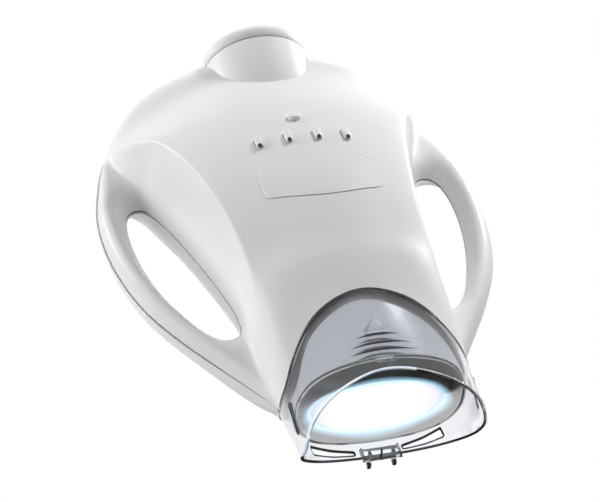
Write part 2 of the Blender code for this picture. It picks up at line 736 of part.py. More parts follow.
def make_nose(layout):
    rim = oval_ring(rim_half_width, rim_height, rim_middle, rim_length, rim_sweep, rim_power)
    edge = edge_ring(0, -guide_wall)
    rows = [edge, blend(edge, rim, guide_waist_share), rim]
    guide = add("light_guide", skin("light_guide", rows[::-1]), layout, clear_plastic)
    shell(guide, guide_wall)
    boolean(guide, edge_cutter("behind_edge", layout, guide_gap, -nose_length))
    clip = (0, -rim_length - clip_overhang, rim_middle - rim_height + clip_lift)
    boolean(guide, add("guide_clip", box(clip_size), layout, at=clip), "UNION")

    front = oval_ring(collar_half_width, collar_height, collar_middle, collar_length, collar_sweep,
                      collar_power)
    waist_ring = blend(edge_ring(collar_inset, 0), front, guide_waist_share)
    rows = [edge_ring(collar_inset, -collar_tuck), waist_ring, front]
    shell(add("nose_collar", skin("nose_collar", rows[::-1]), layout, silver_paint), collar_wall)

    inset = collar_wall + 2 * gap
    wide = oval_ring(collar_half_width - inset, collar_height - inset, collar_middle, collar_length - gap,
                     collar_sweep, collar_power)
    narrow = oval_ring(mouth_half_width, mouth_height, mouth_middle, collar_length - reflector_depth, 0, 2)
    shell(add("reflector", skin("reflector", [wide, narrow]), layout, bright_metal), reflector_wall)

    back = -(collar_length - reflector_depth) + gap
    hold = mouth_half_width - gasket_lip
    squash = (mouth_height - gasket_lip) / hold
    at = (0, back, mouth_middle)
    disc = rod(mouth_half_width, -gasket_depth, 0, 24, mouth_height / mouth_half_width)
    gasket = add("lens_gasket", disc, layout, dark_rubber, at, facing_nose)
    lens_low = -gasket_depth + gasket_lip
    seat = rod(hold, lens_low, overrun, 24, squash)
    boolean(gasket, add("gasket_seat", seat, layout, at=at, turn=facing_nose))
    light = hold - gasket_lip
    window = rod(light, -overrun, overrun, 24, (mouth_height - 2 * gasket_lip) / light)
    boolean(gasket, add("gasket_window", window, layout, at=at, turn=facing_nose))
    lens = rod(hold - gap, lens_low + gap, lens_low + gap + lens_thickness, 24,
               (mouth_height - gasket_lip - gap) / (hold - gap))
    add("lens", lens, layout, lit_lens, at, facing_nose)


def make_light(layout, rear):
    width, depth, height = sink_size
    at = (0, sink_y + depth / 2, source_z)
    sink = add("heat_sink", box(sink_size), layout, aluminium, at)
    for side in (-1, 1):
        rest = rod(leg_radius, -belly(share_of(at[1])) + cover_wall, source_z - height / 2 - gap, 8)
        spot = (side * width * sink_rest_share, at[1], 0)
        boolean(rear, add(f"sink_rest_{'left' if side < 0 else 'right'}", rest, layout, at=spot), "UNION")
    pitch = width / (fin_count + fin_margin_share)
    for number in range(fin_count):
        x = (number - (fin_count - 1) / 2) * pitch
        groove = box((fin_slot, depth, height + overrun), (x, sink_base, 0))
        boolean(sink, add(f"fin_slot_{number + 1}", groove, layout, at=at))
    front = sink_y - gap - board_thickness / 2
    board = add("led_board", box((led_size[0], board_thickness, led_size[1])), layout, circuit_green,
                (0, front, source_z))
    wide, high, proud = emitter_size
    chips = box((wide, proud, high), (0, -proud / 2, 0))
    boolean(board, add("emitters", chips, layout, at=(0, front, source_z)), "UNION")

    at = (0, sink_y + depth + gap + fan_depth, source_z)
    body = box((fan_size, fan_size, fan_depth), (0, 0, -fan_depth / 2))
    frame = add("fan_frame", body, layout, black_plastic, at, facing_tail)
    well = rod(fan_bore, -fan_depth - overrun, overrun, 24)
    boolean(frame, add("fan_well", well, layout, at=at, turn=facing_tail))
    spider = rod(fan_hub, -fan_depth, -fan_depth + strut_depth, 12)
    boolean(frame, add("fan_spider", spider, layout, at=at, turn=facing_tail), "UNION")
    for number in range(strut_count):
        strut = box((fan_bore + strut_width, strut_width, strut_depth),
                    ((fan_bore + strut_width) / 2, 0, -fan_depth + strut_depth / 2))
        strut.transform(Matrix.Rotation(full_turn * number / strut_count, 4, "Z"))
        boolean(frame, add(f"fan_strut_{number + 1}", strut, layout, at=at, turn=facing_tail), "UNION")
    hub = rod(fan_hub, -fan_depth + strut_depth + gap, -gap, 14)
    rotor = add("fan_rotor", hub, layout, black_plastic, at, facing_tail)
    span = fan_bore - blade_clearance - fan_hub / 2
    middle = (-fan_depth + strut_depth) / 2
    for number in range(blade_count):
        blade = box((span, blade_depth, blade_thickness))
        blade.transform(Matrix.Rotation(blade_tilt, 4, "X"))
        blade.transform(Matrix.Translation((fan_hub / 2 + span / 2, 0, middle)))
        blade.transform(Matrix.Rotation(full_turn * number / blade_count, 4, "Z"))
        boolean(rotor, add(f"blade_{number + 1}", blade, layout, at=at, turn=facing_tail), "UNION")


def make_electronics(layout, rear, places):
    width, length, thickness = chassis_size
    chassis = add("chassis", box(chassis_size), layout, aluminium, (0, chassis_y, chassis_z))
    bottom = chassis_z - thickness / 2
    for x_share, y_share in leg_shares:
        for side in (-1, 1):
            at = (side * x_share * width, chassis_y + y_share * length, 0)
            leg = rod(leg_radius, -belly_depth + cover_wall, bottom - gap, 8)
            tag = f"{'front' if y_share < 0 else 'back'}_{'left' if side < 0 else 'right'}"
            boolean(rear, add("leg_" + tag, leg, layout, at=at), "UNION")
    aside, along = control_size[0] / 2 - pillar_inset, control_size[1] / 2 - pillar_inset
    for x in (-1, 1):
        for y in (-1, 1):
            at = (x * aside, control_y + y * along, 0)
            pillar = rod(pillar_radius, chassis_z, control_z - gap, 10)
            tag = f"{'front' if y < 0 else 'back'}_{'left' if x < 0 else 'right'}"
            boolean(chassis, add("pillar_" + tag, pillar, layout, at=at), "UNION")
    board = add("control_board", box((*control_size, board_thickness), (0, 0, board_thickness / 2)), layout,
                circuit_green, (0, control_y, control_z))
    for name, (x, y, z), tilt, size, rise in places:
        lean = (z - control_z - board_thickness - switch_height) * math.tan(tilt)
        lift = board_thickness + switch_height / 2 - gap
        switch = box((switch_side, switch_side, switch_height), (0, 0, lift))
        boolean(board, add(name + "_switch", switch, layout, at=(x - lean, y, control_z)), "UNION")


clear_scene()
socket_y = neck_y + cap_length * math.cos(neck_tilt)
socket_z = neck_z + cap_length * math.sin(neck_tilt)
facing_arm = (neck_tilt - math.pi / 2, 0, 0)
fixed_axis = empty("fixed_axis", None, (0, 0, 0), facing_arm)
head = empty("head")
layout = empty("layout", head, (0, -socket_y, -socket_z))
neck = empty("neck", layout, (0, neck_y, neck_z), facing_arm)
front_cover, rear_cover, key_spots = make_covers(layout)
ahead_of_edge = edge_cutter("ahead_of_edge", layout, 0, nose_length)
boolean(front_cover, ahead_of_edge)
boolean(rear_cover, ahead_of_edge)
make_vents(layout, rear_cover)
make_keys(layout, front_cover, key_spots)
make_neck(layout, front_cover, neck)
make_nose(layout)
make_light(layout, rear_cover)
make_electronics(layout, rear_cover, key_spots)

# The exact solver loses the rear cover where its slopes meet the posts.
for cut in rear_cover.modifiers:
    if cut.type == "BOOLEAN":
        cut.solver = "MANIFOLD"
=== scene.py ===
# Teeth whitening lamp head: smooth covers, keys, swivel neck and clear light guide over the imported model.
import math
from contextlib import contextmanager

import bpy
from mathutils import Euler, Matrix, Vector


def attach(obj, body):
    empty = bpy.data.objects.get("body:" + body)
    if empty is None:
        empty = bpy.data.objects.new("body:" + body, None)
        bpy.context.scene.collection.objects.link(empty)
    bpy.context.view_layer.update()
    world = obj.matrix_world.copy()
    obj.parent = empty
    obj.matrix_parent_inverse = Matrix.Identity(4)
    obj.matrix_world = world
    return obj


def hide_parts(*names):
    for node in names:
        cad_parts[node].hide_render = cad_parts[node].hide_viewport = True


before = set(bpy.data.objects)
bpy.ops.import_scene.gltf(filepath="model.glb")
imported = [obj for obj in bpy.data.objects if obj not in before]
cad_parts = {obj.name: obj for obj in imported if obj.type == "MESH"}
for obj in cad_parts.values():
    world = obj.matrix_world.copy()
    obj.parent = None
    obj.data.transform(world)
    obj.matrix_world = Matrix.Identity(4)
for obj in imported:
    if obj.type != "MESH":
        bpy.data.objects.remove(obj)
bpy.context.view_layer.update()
print("stage 1: packed model loaded")

# Pieces are laid out from the covers' parting plane, as the real covers are, then moved onto the model.
neck = {
    "tilt": math.radians(24), "y": 0.1384, "z": 0.0465, "radius": 0.0335, "wall": 0.003, "depth": 0.046,
    "flangeRim": 0.0018, "flangeThickness": 0.003, "webTop": 0.014, "webThickness": 0.006,
    "webHole": 0.0121, "seamGap": 0.0008, "clearance": 0.0004,
    "capLength": 0.012, "capRound": 0.0078, "capSteps": 10, "socketRadius": 0.014, "socketDepth": 0.0087,
    "hubRadius": 0.015, "hubDepth": 0.0105, "shaftFit": 0.0093, "edgeRound": 0.0006, "steps": 96,
    "wellWall": 0.002, "wellSink": 0.0004, "wellDip": 0.014, "wellTurn": 0.35, "wellFoot": -0.028,
}
headShift = Vector((0, -neck["y"] - neck["capLength"] * math.cos(neck["tilt"]),
                    -neck["z"] - neck["capLength"] * math.sin(neck["tilt"])))

view = {"azimuth": math.radians(-15.53), "elevation": math.radians(36), "roll": math.radians(2.48),
        "lens": 103.218, "sensor": 36, "farthest": 20, "place": (-0.2249, -0.94696, 0.55012)}
bpy.ops.object.camera_add()
camera = bpy.context.object
camera.matrix_world = (Matrix.Translation(view["place"]) @ Matrix.Rotation(view["azimuth"], 4, "Z")
                       @ Matrix.Rotation(math.pi / 2 - view["elevation"], 4, "X")
                       @ Matrix.Rotation(view["roll"], 4, "Z"))
camera.data.lens = view["lens"]
camera.data.sensor_width = view["sensor"]
camera.data.clip_end = view["farthest"]
bpy.context.scene.camera = camera
print("stage 2: camera placed")

mergeWithin = 0.00001  # points of a cage that meet
smoothLevels = 3  # of subdivision, for every cage
farOff = 0.2  # further out than any surface, for the rays that find them


def pick(piece):
    bpy.ops.object.select_all(action="DESELECT")
    piece.select_set(True)
    bpy.context.view_layer.objects.active = piece


@contextmanager
def editing(piece, everything=False):  # edit mode for as long as its block lasts
    pick(piece)
    bpy.ops.object.mode_set(mode="EDIT")
    if everything:
        bpy.ops.mesh.select_all(action="SELECT")
    yield
    bpy.ops.object.mode_set(mode="OBJECT")


def put(piece, at=(0, 0, 0), lean=(0, 0, 0)):  # moves and turns the mesh, and leaves the object at the origin
    piece.location, piece.rotation_euler = at, lean
    pick(piece)
    bpy.ops.object.transform_apply(location=True, rotation=True, scale=True)
    return piece


def addModifier(piece, kind, **settings):
    modifier = piece.modifiers.new(kind.lower(), kind)
    for name, value in settings.items():
        setattr(modifier, name, value)


def applyModifiers(piece):
    pick(piece)
    for modifier in list(piece.modifiers):
        bpy.ops.object.modifier_apply(modifier=modifier.name)


def joinOrCut(piece, other, operation="DIFFERENCE"):  # uses the other shape up
    addModifier(piece, "BOOLEAN", operation=operation, solver="MANIFOLD", object=other)
    applyModifiers(piece)
    bpy.data.objects.remove(other, do_unlink=True)


def soften(piece, width, steps, sharpest=30):  # rounds the edges that turn by more than some degrees
    addModifier(piece, "BEVEL", width=width, segments=steps, limit_method="ANGLE",
                angle_limit=math.radians(sharpest))
    applyModifiers(piece)


def sliceOff(piece, spot, toward):  # takes away what lies beyond a plane and closes the cut
    with editing(piece, everything=True):
        bpy.ops.mesh.bisect(plane_co=spot, plane_no=toward, use_fill=True, clear_outer=True)


def selectOnly(piece, kind, wanted):  # the edges or faces that are wanted, for the next edit
    with editing(piece):
        bpy.ops.mesh.select_mode(type=kind)
        bpy.ops.mesh.select_all(action="DESELECT")
    for part in piece.data.edges if kind == "EDGE" else piece.data.polygons:
        part.select = wanted(part)


def roundTop(piece, above, width, steps):  # rounds the edges that lie above a height
    selectOnly(piece, "EDGE", lambda edge: all(piece.data.vertices[v].co.z > above for v in edge.vertices))
    with editing(piece):
        bpy.ops.mesh.bevel(offset=width, segments=steps, profile=0.5, affect="EDGES")


def smoothLoop(spots, steps):  # closed Catmull-Rom curve through flat points
    loop = []
    for k, spot in enumerate(spots):
        a, b, c, d = (Vector(spots[(k + i) % len(spots)]) for i in (-1, 0, 1, 2))
        for step in range(steps):
            t = step / steps
            loop.append((b * 2 + (c - a) * t + (a * 2 - b * 5 + c * 4 - d) * t * t
                         + (b * 3 - a - c * 3 + d) * t * t * t) / 2)
    return loop


def faceOutwards(piece):
    with editing(piece, everything=True):
        bpy.ops.mesh.normals_make_consistent(inside=False)


def settle(piece, body, slot, finishes, angle=30):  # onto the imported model, at rest
    put(piece, piece.location + headShift, piece.rotation_euler)
    bpy.ops.object.shade_smooth_by_angle(angle=math.radians(angle))
    finishes = finishes if isinstance(finishes, list) else [finishes]
    places = [min(polygon.material_index, len(finishes) - 1) for polygon in piece.data.polygons]
    piece.data.materials.clear()
    for finish in finishes:
        piece.data.materials.append(finish)
    piece.data.polygons.foreach_set("material_index", places)
    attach(piece, body)


def standFor(piece, body, node, finishes, angle=30):  # settled in the place of one of the model's nodes
    settle(piece, body, node, finishes, angle)
    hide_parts(node)


def cage(name, rows, openCells=(), inside=Vector((0, 0, 0)), ridges=()):  # a grid whose points lie on the rows
    columns = len(rows[0])
    bpy.ops.mesh.primitive_grid_add(x_subdivisions=columns - 1, y_subdivisions=len(rows) - 1)
    piece = bpy.context.object
    piece.name = name
    spots = [spot for row in rows for spot in row]
    for vert, spot in zip(piece.data.vertices, spots):
        vert.co = spot
    for column, firstRow, lastRow, weight in ridges:
        chosen = {row * columns + column for row in range(firstRow, lastRow + 1)}
        selectOnly(piece, "EDGE", lambda edge: chosen.issuperset(edge.vertices))
        with editing(piece):
            bpy.ops.transform.edge_crease(value=weight)
    if openCells:
        selectOnly(piece, "FACE", lambda face: divmod(face.index, columns - 1) in openCells)
        with editing(piece):
            bpy.ops.mesh.delete(type="FACE")
    with editing(piece, everything=True):
        bpy.ops.mesh.remove_doubles(threshold=mergeWithin)
    outflow = sum(face.area * face.normal.dot(face.center - inside) for face in piece.data.polygons)
    if outflow < 0:
        with editing(piece, everything=True):
            bpy.ops.mesh.flip_normals()
    return piece


def tube(name, path, halfWidth, halfHeight, closed=False, taper=3, steps=8):  # path of (spot, outward) pairs
    rows = []
    last = len(path) - 1
    for k, (spot, outward) in enumerate(path):
        ahead = path[(k + 1) % len(path)][0] if closed or k < last else spot
        behind = path[k - 1][0] if closed or k else spot
        forth = (ahead - behind).normalized()
        side = forth.cross(outward).normalized()
        rise = side.cross(forth)
        size = 1 if closed else min(1, min(k, last - k) / taper)
        turns = [math.tau * turn / steps for turn in range(steps)] + [0]
        rows.append([spot + (side * math.cos(turn) * halfWidth + rise * math.sin(turn) * halfHeight) * size
                     for turn in turns])
    return cage(name, rows + rows[:1] if closed else rows)


def roundOut(piece, recess=0):  # both halves, smooth, and set back from the surface
    addModifier(piece, "MIRROR", merge_threshold=mergeWithin)
    addModifier(piece, "SUBSURF", levels=smoothLevels, render_levels=smoothLevels)
    if recess:
        addModifier(piece, "DISPLACE", mid_level=0, strength=-recess)


def spareSlots(piece):  # so that faces can carry a second and third finish
    for count in range(2):
        piece.data.materials.append(None)


def shell(piece, wall, rimSlot=0):
    roundOut(piece)
    addModifier(piece, "SOLIDIFY", thickness=wall, offset=-1, use_even_offset=True, material_offset_rim=rimSlot)
    if rimSlot:
        spareSlots(piece)
    applyModifiers(piece)


def block(size, centre=(0, 0, 0)):
    bpy.ops.mesh.primitive_cube_add(size=1)
    piece = bpy.context.object
    piece.scale = size
    return put(piece, centre)


def outlineMiddle(outline):
    return sum(x for x, y in outline) / len(outline), sum(y for x, y in outline) / len(outline)


def prism(outline, low, high):  # upright block over an outline of (x, y) points
    bpy.ops.mesh.primitive_cylinder_add(vertices=len(outline), radius=1, depth=2)
    piece = bpy.context.object
    corners = sorted(piece.data.vertices, key=lambda vert: (vert.co.z, math.atan2(vert.co.y, vert.co.x)))
    middleX, middleY = outlineMiddle(outline)
    ordered = sorted(outline, key=lambda spot: math.atan2(spot[1] - middleY, spot[0] - middleX))
    for k, vert in enumerate(corners):
        vert.co = (*ordered[k % len(outline)], low if k < len(outline) else high)
    faceOutwards(piece)
    return piece


def pill(width, length, low, high, steps=32, at=(0, 0, 0), lean=(0, 0, 0)):  # upright bar with half-round ends
    bpy.ops.mesh.primitive_cylinder_add(vertices=steps, radius=width / 2, depth=high - low)
    piece = put(bpy.context.object, (0, 0, (low + high) / 2), (0, 0, math.pi / steps))
    for vert in piece.data.vertices:
        vert.co.y += math.copysign((length - width) / 2, vert.co.y)
    return put(piece, at, lean)


def rod(radius, *rest):  # round bar
    return pill(2 * radius, 2 * radius, *rest)


def standOnNeck(piece):
    return put(piece, (0, neck["y"], neck["z"]), (neck["tilt"] - math.pi / 2, 0, 0))


def lathe(name, profile):  # profile of (radius, height) points turned about the neck's axis
    bpy.ops.mesh.primitive_circle_add(vertices=len(profile), fill_type="NOTHING")
    piece = bpy.context.object
    piece.name = name
    for vert, (radius, height) in zip(piece.data.vertices, profile):
        vert.co = (radius, 0, height)
    with editing(piece, everything=True):
        bpy.ops.mesh.spin(steps=neck["steps"], angle=math.tau, center=(0, 0, 0), axis=(0, 0, 1))
        bpy.ops.mesh.select_all(action="SELECT")
        bpy.ops.mesh.remove_doubles(threshold=mergeWithin / 2)
        bpy.ops.mesh.normals_make_consistent(inside=False)
    return standOnNeck(piece)


def topOf(piece, x, y, side=1):  # height of a piece's outer surface at a place
    return piece.ray_cast(Vector((x, y, side * farOff)), Vector((0, 0, -side)))[1].z


def linear(shade):  # sRGB hex to linear colour
    channels = [int(shade[k:k + 2], 16) / 255 for k in (1, 3, 5)]
    return (*[c / 12.92 if c <= 0.04045 else ((c + 0.055) / 1.055) ** 2.4 for c in channels], 1)


def feed(node, inputs):  # each input gets a fixed value, or a link from a socket or a node's first output
    for name, value in inputs.items():
        if isinstance(value, bpy.types.Node):
            value = next(socket for socket in value.outputs if socket.enabled)
        if isinstance(value, bpy.types.NodeSocket):
            node.id_data.links.new(value, node.inputs[name])
        else:
            node.inputs[name].default_value = value


def addNode(tree, kind, inputs=None, stops=(), **settings):  # stops are a ramp's colours
    node = tree.nodes.new("ShaderNode" + kind)
    for name, value in settings.items():
        setattr(node, name, value)
    feed(node, inputs or {})
    if stops:
        ramp = node.color_ramp.elements
        ramp.remove(ramp[-1])
        ramp[0].position, ramp[0].color = stops[0][0], linear(stops[0][1])
        for position, shade in stops[1:]:
            ramp.new(position).color = linear(shade)
    return node


def startFinish(name, values):  # a material with its shader's fixed values set
    finish = bpy.data.materials.new(name)
    finish.use_nodes = True
    shader = finish.node_tree.nodes["Principled BSDF"]
    feed(shader, values)
    return finish, finish.node_tree, shader


def grainedPlastic(name, shade, darker, roughness, grainSize, grainDepth, specular=0.5):
    finish, tree, shader = startFinish(name, {"IOR": 1.5, "Specular IOR Level": specular})
    place = addNode(tree, "TexCoord").outputs["Object"]
    drift = addNode(tree, "TexNoise", {"Vector": place, "Scale": 14, "Detail": 2})
    grain = addNode(tree, "TexNoise", {"Vector": place, "Scale": 1 / grainSize, "Detail": 3, "Roughness": 0.6})
    tone = addNode(tree, "ValToRGB", {"Fac": drift}, [(0.35, darker), (0.65, shade)])
    polish = addNode(tree, "MapRange", {"Value": grain, "From Min": 0.3, "From Max": 0.7,
                                        "To Min": roughness - 0.04, "To Max": roughness + 0.04})
    bump = addNode(tree, "Bump", {"Height": grain, "Strength": 0.35, "Distance": grainDepth})
    feed(shader, {"Base Color": tone, "Roughness": polish, "Normal": bump})
    return finish


# Moulded ABS with a fine spark-eroded grain: white, satin, with a broad soft sheen. The grain is 0.3 mm on
# the real cover and is drawn at 0.7 mm so that it still shows.
satinAbs = grainedPlastic("mouldedSatinAbs", "#F2F2F2", "#EEEEEE", 0.40, 0.0007, 0.00004)
# Moulded ABS key tops, polished by fingers: a little glossier than the covers.
keyAbs = grainedPlastic("mouldedKeyAbs", "#F4F4F4", "#F0F0F0", 0.30, 0.0006, 0.00002)
# Thin in-mould film over the bare panel: the same white, smoother.
panelAbs = grainedPlastic("smoothPanelAbs", "#F4F4F4", "#F1F1F1", 0.33, 0.0009, 0.00001)
# Trimmed edge of that film in pure white: a painted highlight along the panel's outline.
paintedHighlightEdge = grainedPlastic("paintedHighlightFilmEdge", "#FFFFFF", "#FCFCFC", 0.3, 0.0009, 0.00001)
# Natural acetal bushes: cream, waxy.
acetal = grainedPlastic("machinedAcetal", "#E3DCC6", "#DCD4BC", 0.42, 0.0009, 0.00003)
# Black glass-filled nylon of the fan: dull, speckled.
fanNylon = grainedPlastic("mouldedFanNylon", "#1E1F21", "#18191A", 0.5, 0.0008, 0.00004)
# Black silicone seal: matt.
silicone = grainedPlastic("mouldedSilicone", "#2A2B2D", "#232426", 0.62, 0.0008, 0.00003, 0.3)
# Dark grey, polished dots at the keys' lower ends: painted shade where the keys' round ends turn away from the light.
keyEndPaintedShade = grainedPlastic("keyEndPaintedShade", "#3E4043", "#36383B", 0.32, 0.0015, 0.000005)


def metalFinish(name, shade, darker, roughness, streak, grainSize):
    finish, tree, shader = startFinish(name, {"Metallic": 1.0})
    place = addNode(tree, "TexCoord").outputs["Object"]
    stretch = addNode(tree, "Mapping", {"Vector": place, "Scale": streak})
    grain = addNode(tree, "TexNoise", {"Vector": stretch, "Scale": 1 / grainSize, "Detail": 4})
    tone = addNode(tree, "ValToRGB", {"Fac": grain}, [(0.3, darker), (0.7, shade)])
    polish = addNode(tree, "MapRange", {"Value": grain, "From Min": 0.3, "From Max": 0.7,
                                        "To Min": roughness * 0.93, "To Max": roughness * 1.07})
    feed(shader, {"Base Color": tone, "Roughness": polish})
    return finish


# Silver lacquer on the moulded collar: soft grey metal with a very fine flake.
silverLacquer = metalFinish("sprayedSilverLacquer", "#B9BBBE", "#B6B8BB", 0.22, (1, 1, 1), 0.0009)
# Turned steel of the swivel shaft: fine turning marks round the axis.
turnedSteel = metalFinish("turnedSteel", "#B4B6B9", "#9DA0A4", 0.28, (1, 1, 1), 0.0008)
# Extruded aluminium of the heat sink: lines along the extrusion, up the fins.
extrudedAluminium = metalFinish("extrudedAluminium", "#C3C6C9", "#B2B5B9", 0.34, (1, 1, 0.08), 0.0007)
# Folded aluminium chassis: rolled sheet, lines along its length.
rolledAluminium = metalFinish("rolledAluminium", "#BFC2C5", "#B3B6BA", 0.38, (1, 0.05, 1), 0.0008)
# Zinc plated steel of nut and screws: bluish, slightly mottled.
zincPlated = metalFinish("zincPlatedSteel", "#B9BEC6", "#A4A9B2", 0.3, (1, 1, 1), 0.0015)

# Clear injection-moulded acrylic: faint lavender in the wall, sharp reflections.
clearAcrylic, tree, shader = startFinish("clearMouldedAcrylic", {
    "Base Color": linear("#F9FAFD"), "IOR": 1.49, "Transmission Weight": 1.0})
place = addNode(tree, "TexCoord").outputs["Object"]
ripple = addNode(tree, "TexNoise", {"Vector": place, "Scale": 60, "Detail": 1})
polish = addNode(tree, "MapRange", {"Value": ripple, "To Min": 0.02, "To Max": 0.05})
flow = addNode(tree, "Bump", {"Height": ripple, "Strength": 0.03, "Distance": 0.0002})
feed(shader, {"Roughness": polish, "Normal": flow})


def acrylicRim(name, values, socket, stops):  # colour clouded along the edge
    finish, tree, shader = startFinish(name, {"IOR": 1.49, **values})
    place = addNode(tree, "TexCoord").outputs["Object"]
    cloud = addNode(tree, "TexNoise", {"Vector": place, "Scale": 45, "Detail": 2})
    tone = addNode(tree, "ValToRGB", {"Fac": cloud}, stops)
    feed(shader, {socket: tone})
    return finish


# Edges of the same acrylic, painted nearly black with lavender in them: painted shade and reflection for edges where
# light leaves sideways.
acrylicEdgePaintedShade = acrylicRim("acrylicEdgePaintedShade", {"Transmission Weight": 0.75, "Roughness": 0.12}, "Base Color",
                         [(0.4, "#1C1D22"), (0.62, "#4B4E66")])
# The rim's upper edge, with a painted pale blue white glow for the window's light that it pipes forwards.
litEdge = acrylicRim("edgeLitAcrylic", {"Transmission Weight": 0.9, "Roughness": 0.1, "Emission Strength": 0.32},
                     "Emission Color", [(0.35, "#B9D6EA"), (0.6, "#EEF6FB")])

glow = {"middle": (0, -0.1545, 0.0078), "halfWidth": 0.0374, "halfHeight": 0.0163, "strength": 1.15,
        "fade": 0.0045, "halo": 0.0040, "haloStrength": 0.8}


def glowShares(tree):  # place across the light, 1 on its edge, and the metres beyond that edge
    place = addNode(tree, "TexCoord").outputs["Object"]
    middle = Vector(glow["middle"]) + headShift
    offset = addNode(tree, "VectorMath", {0: place, 1: middle}, operation="SUBTRACT")
    flat = addNode(tree, "VectorMath", {0: offset, 1: (1, 0, 1)}, operation="MULTIPLY")
    perHalf = (1 / glow["halfWidth"], 0, 1 / glow["halfHeight"])
    shares = addNode(tree, "VectorMath", {0: flat, 1: perHalf}, operation="MULTIPLY")
    radius = addNode(tree, "VectorMath", {0: shares}, operation="LENGTH")
    reach = addNode(tree, "VectorMath", {0: flat}, operation="LENGTH")
    edge = addNode(tree, "Math", {0: reach, 1: radius}, operation="DIVIDE")
    beyond = addNode(tree, "Math", {0: reach, 1: edge}, operation="SUBTRACT")
    return place, shares, beyond


# Diffusing polycarbonate window, lit: white in the middle, faint lavender at its ends, ice blue at its edge.
litDiffuser, tree, shader = startFinish("litPolycarbonateDiffuser", {
    "Base Color": linear("#6C6E74"), "Roughness": 0.35, "Emission Strength": glow["strength"]})
place, shares, beyond = glowShares(tree)
fade = addNode(tree, "MapRange", {"Value": beyond, "From Min": -glow["fade"], "From Max": 0})
edgeTone = addNode(tree, "ValToRGB", {"Fac": fade},
                   [(0.0, "#FFFFFF"), (0.45, "#E9F6FE"), (0.8, "#C4E6F8"), (1.0, "#B5DBF0")])
split = addNode(tree, "SeparateXYZ", {"Vector": shares})
across = addNode(tree, "Math", {0: split}, operation="ABSOLUTE")
endTone = addNode(tree, "ValToRGB", {"Fac": across},
                  [(0.0, "#FFFFFF"), (0.5, "#FFFFFF"), (0.72, "#E9E4F3"), (1.0, "#DCD7EC")])
tone = addNode(tree, "Mix", {"Factor": 1.0, "A": edgeTone, "B": endTone},
               data_type="RGBA", blend_type="MULTIPLY")
feed(shader, {"Emission Color": tone})

# Vacuum metallised reflector: dark where it mirrors what lies below, with a painted glow of the window's blue light at
# its mouth.
metallised, tree, shader = startFinish("vacuumMetallised", {
    "Metallic": 1.0, "Base Color": linear("#B4B4B5"), "Emission Strength": glow["haloStrength"]})
place, shares, beyond = glowShares(tree)
fade = addNode(tree, "MapRange", {"Value": beyond, "From Min": 0, "From Max": glow["halo"]})
halo = addNode(tree, "ValToRGB", {"Fac": fade}, [(0.0, "#C4E6F8"), (0.35, "#86B4CC"), (1.0, "#000000")])
haze = addNode(tree, "TexNoise", {"Vector": place, "Scale": 90, "Detail": 2})
polish = addNode(tree, "MapRange", {"Value": haze, "To Min": 0.16, "To Max": 0.24})
feed(shader, {"Emission Color": halo, "Roughness": polish})

# Solder-masked circuit boards: green, glossy, with traces and rows of tinned pads, 3.5 mm apart.
padPitch = 0.0035
circuitBoard, tree, shader = startFinish("solderMaskBoard", {"IOR": 1.5})
place = addNode(tree, "TexCoord").outputs["Object"]
pads = addNode(tree, "TexVoronoi", {"Vector": place, "Scale": 1 / padPitch, "Randomness": 0.35},
               feature="F1", distance="CHEBYCHEV")
traces = addNode(tree, "TexBrick", {"Vector": place, "Scale": 1 / (padPitch * 5), "Mortar Size": 0.03})
padMask = addNode(tree, "Math", {0: pads, 1: 0.13}, operation="LESS_THAN")
mask = addNode(tree, "Mix", {"Factor": traces.outputs["Fac"], "A": linear("#1F6B43"), "B": linear("#2E8757")},
               data_type="RGBA")
tinned = addNode(tree, "Mix", {"Factor": padMask, "A": mask, "B": linear("#C9C7BE")}, data_type="RGBA")
polish = addNode(tree, "MapRange", {"Value": padMask, "To Min": 0.35, "To Max": 0.2})
feed(shader, {"Base Color": tinned, "Metallic": padMask, "Roughness": polish})
print("stage 3: finishes made")

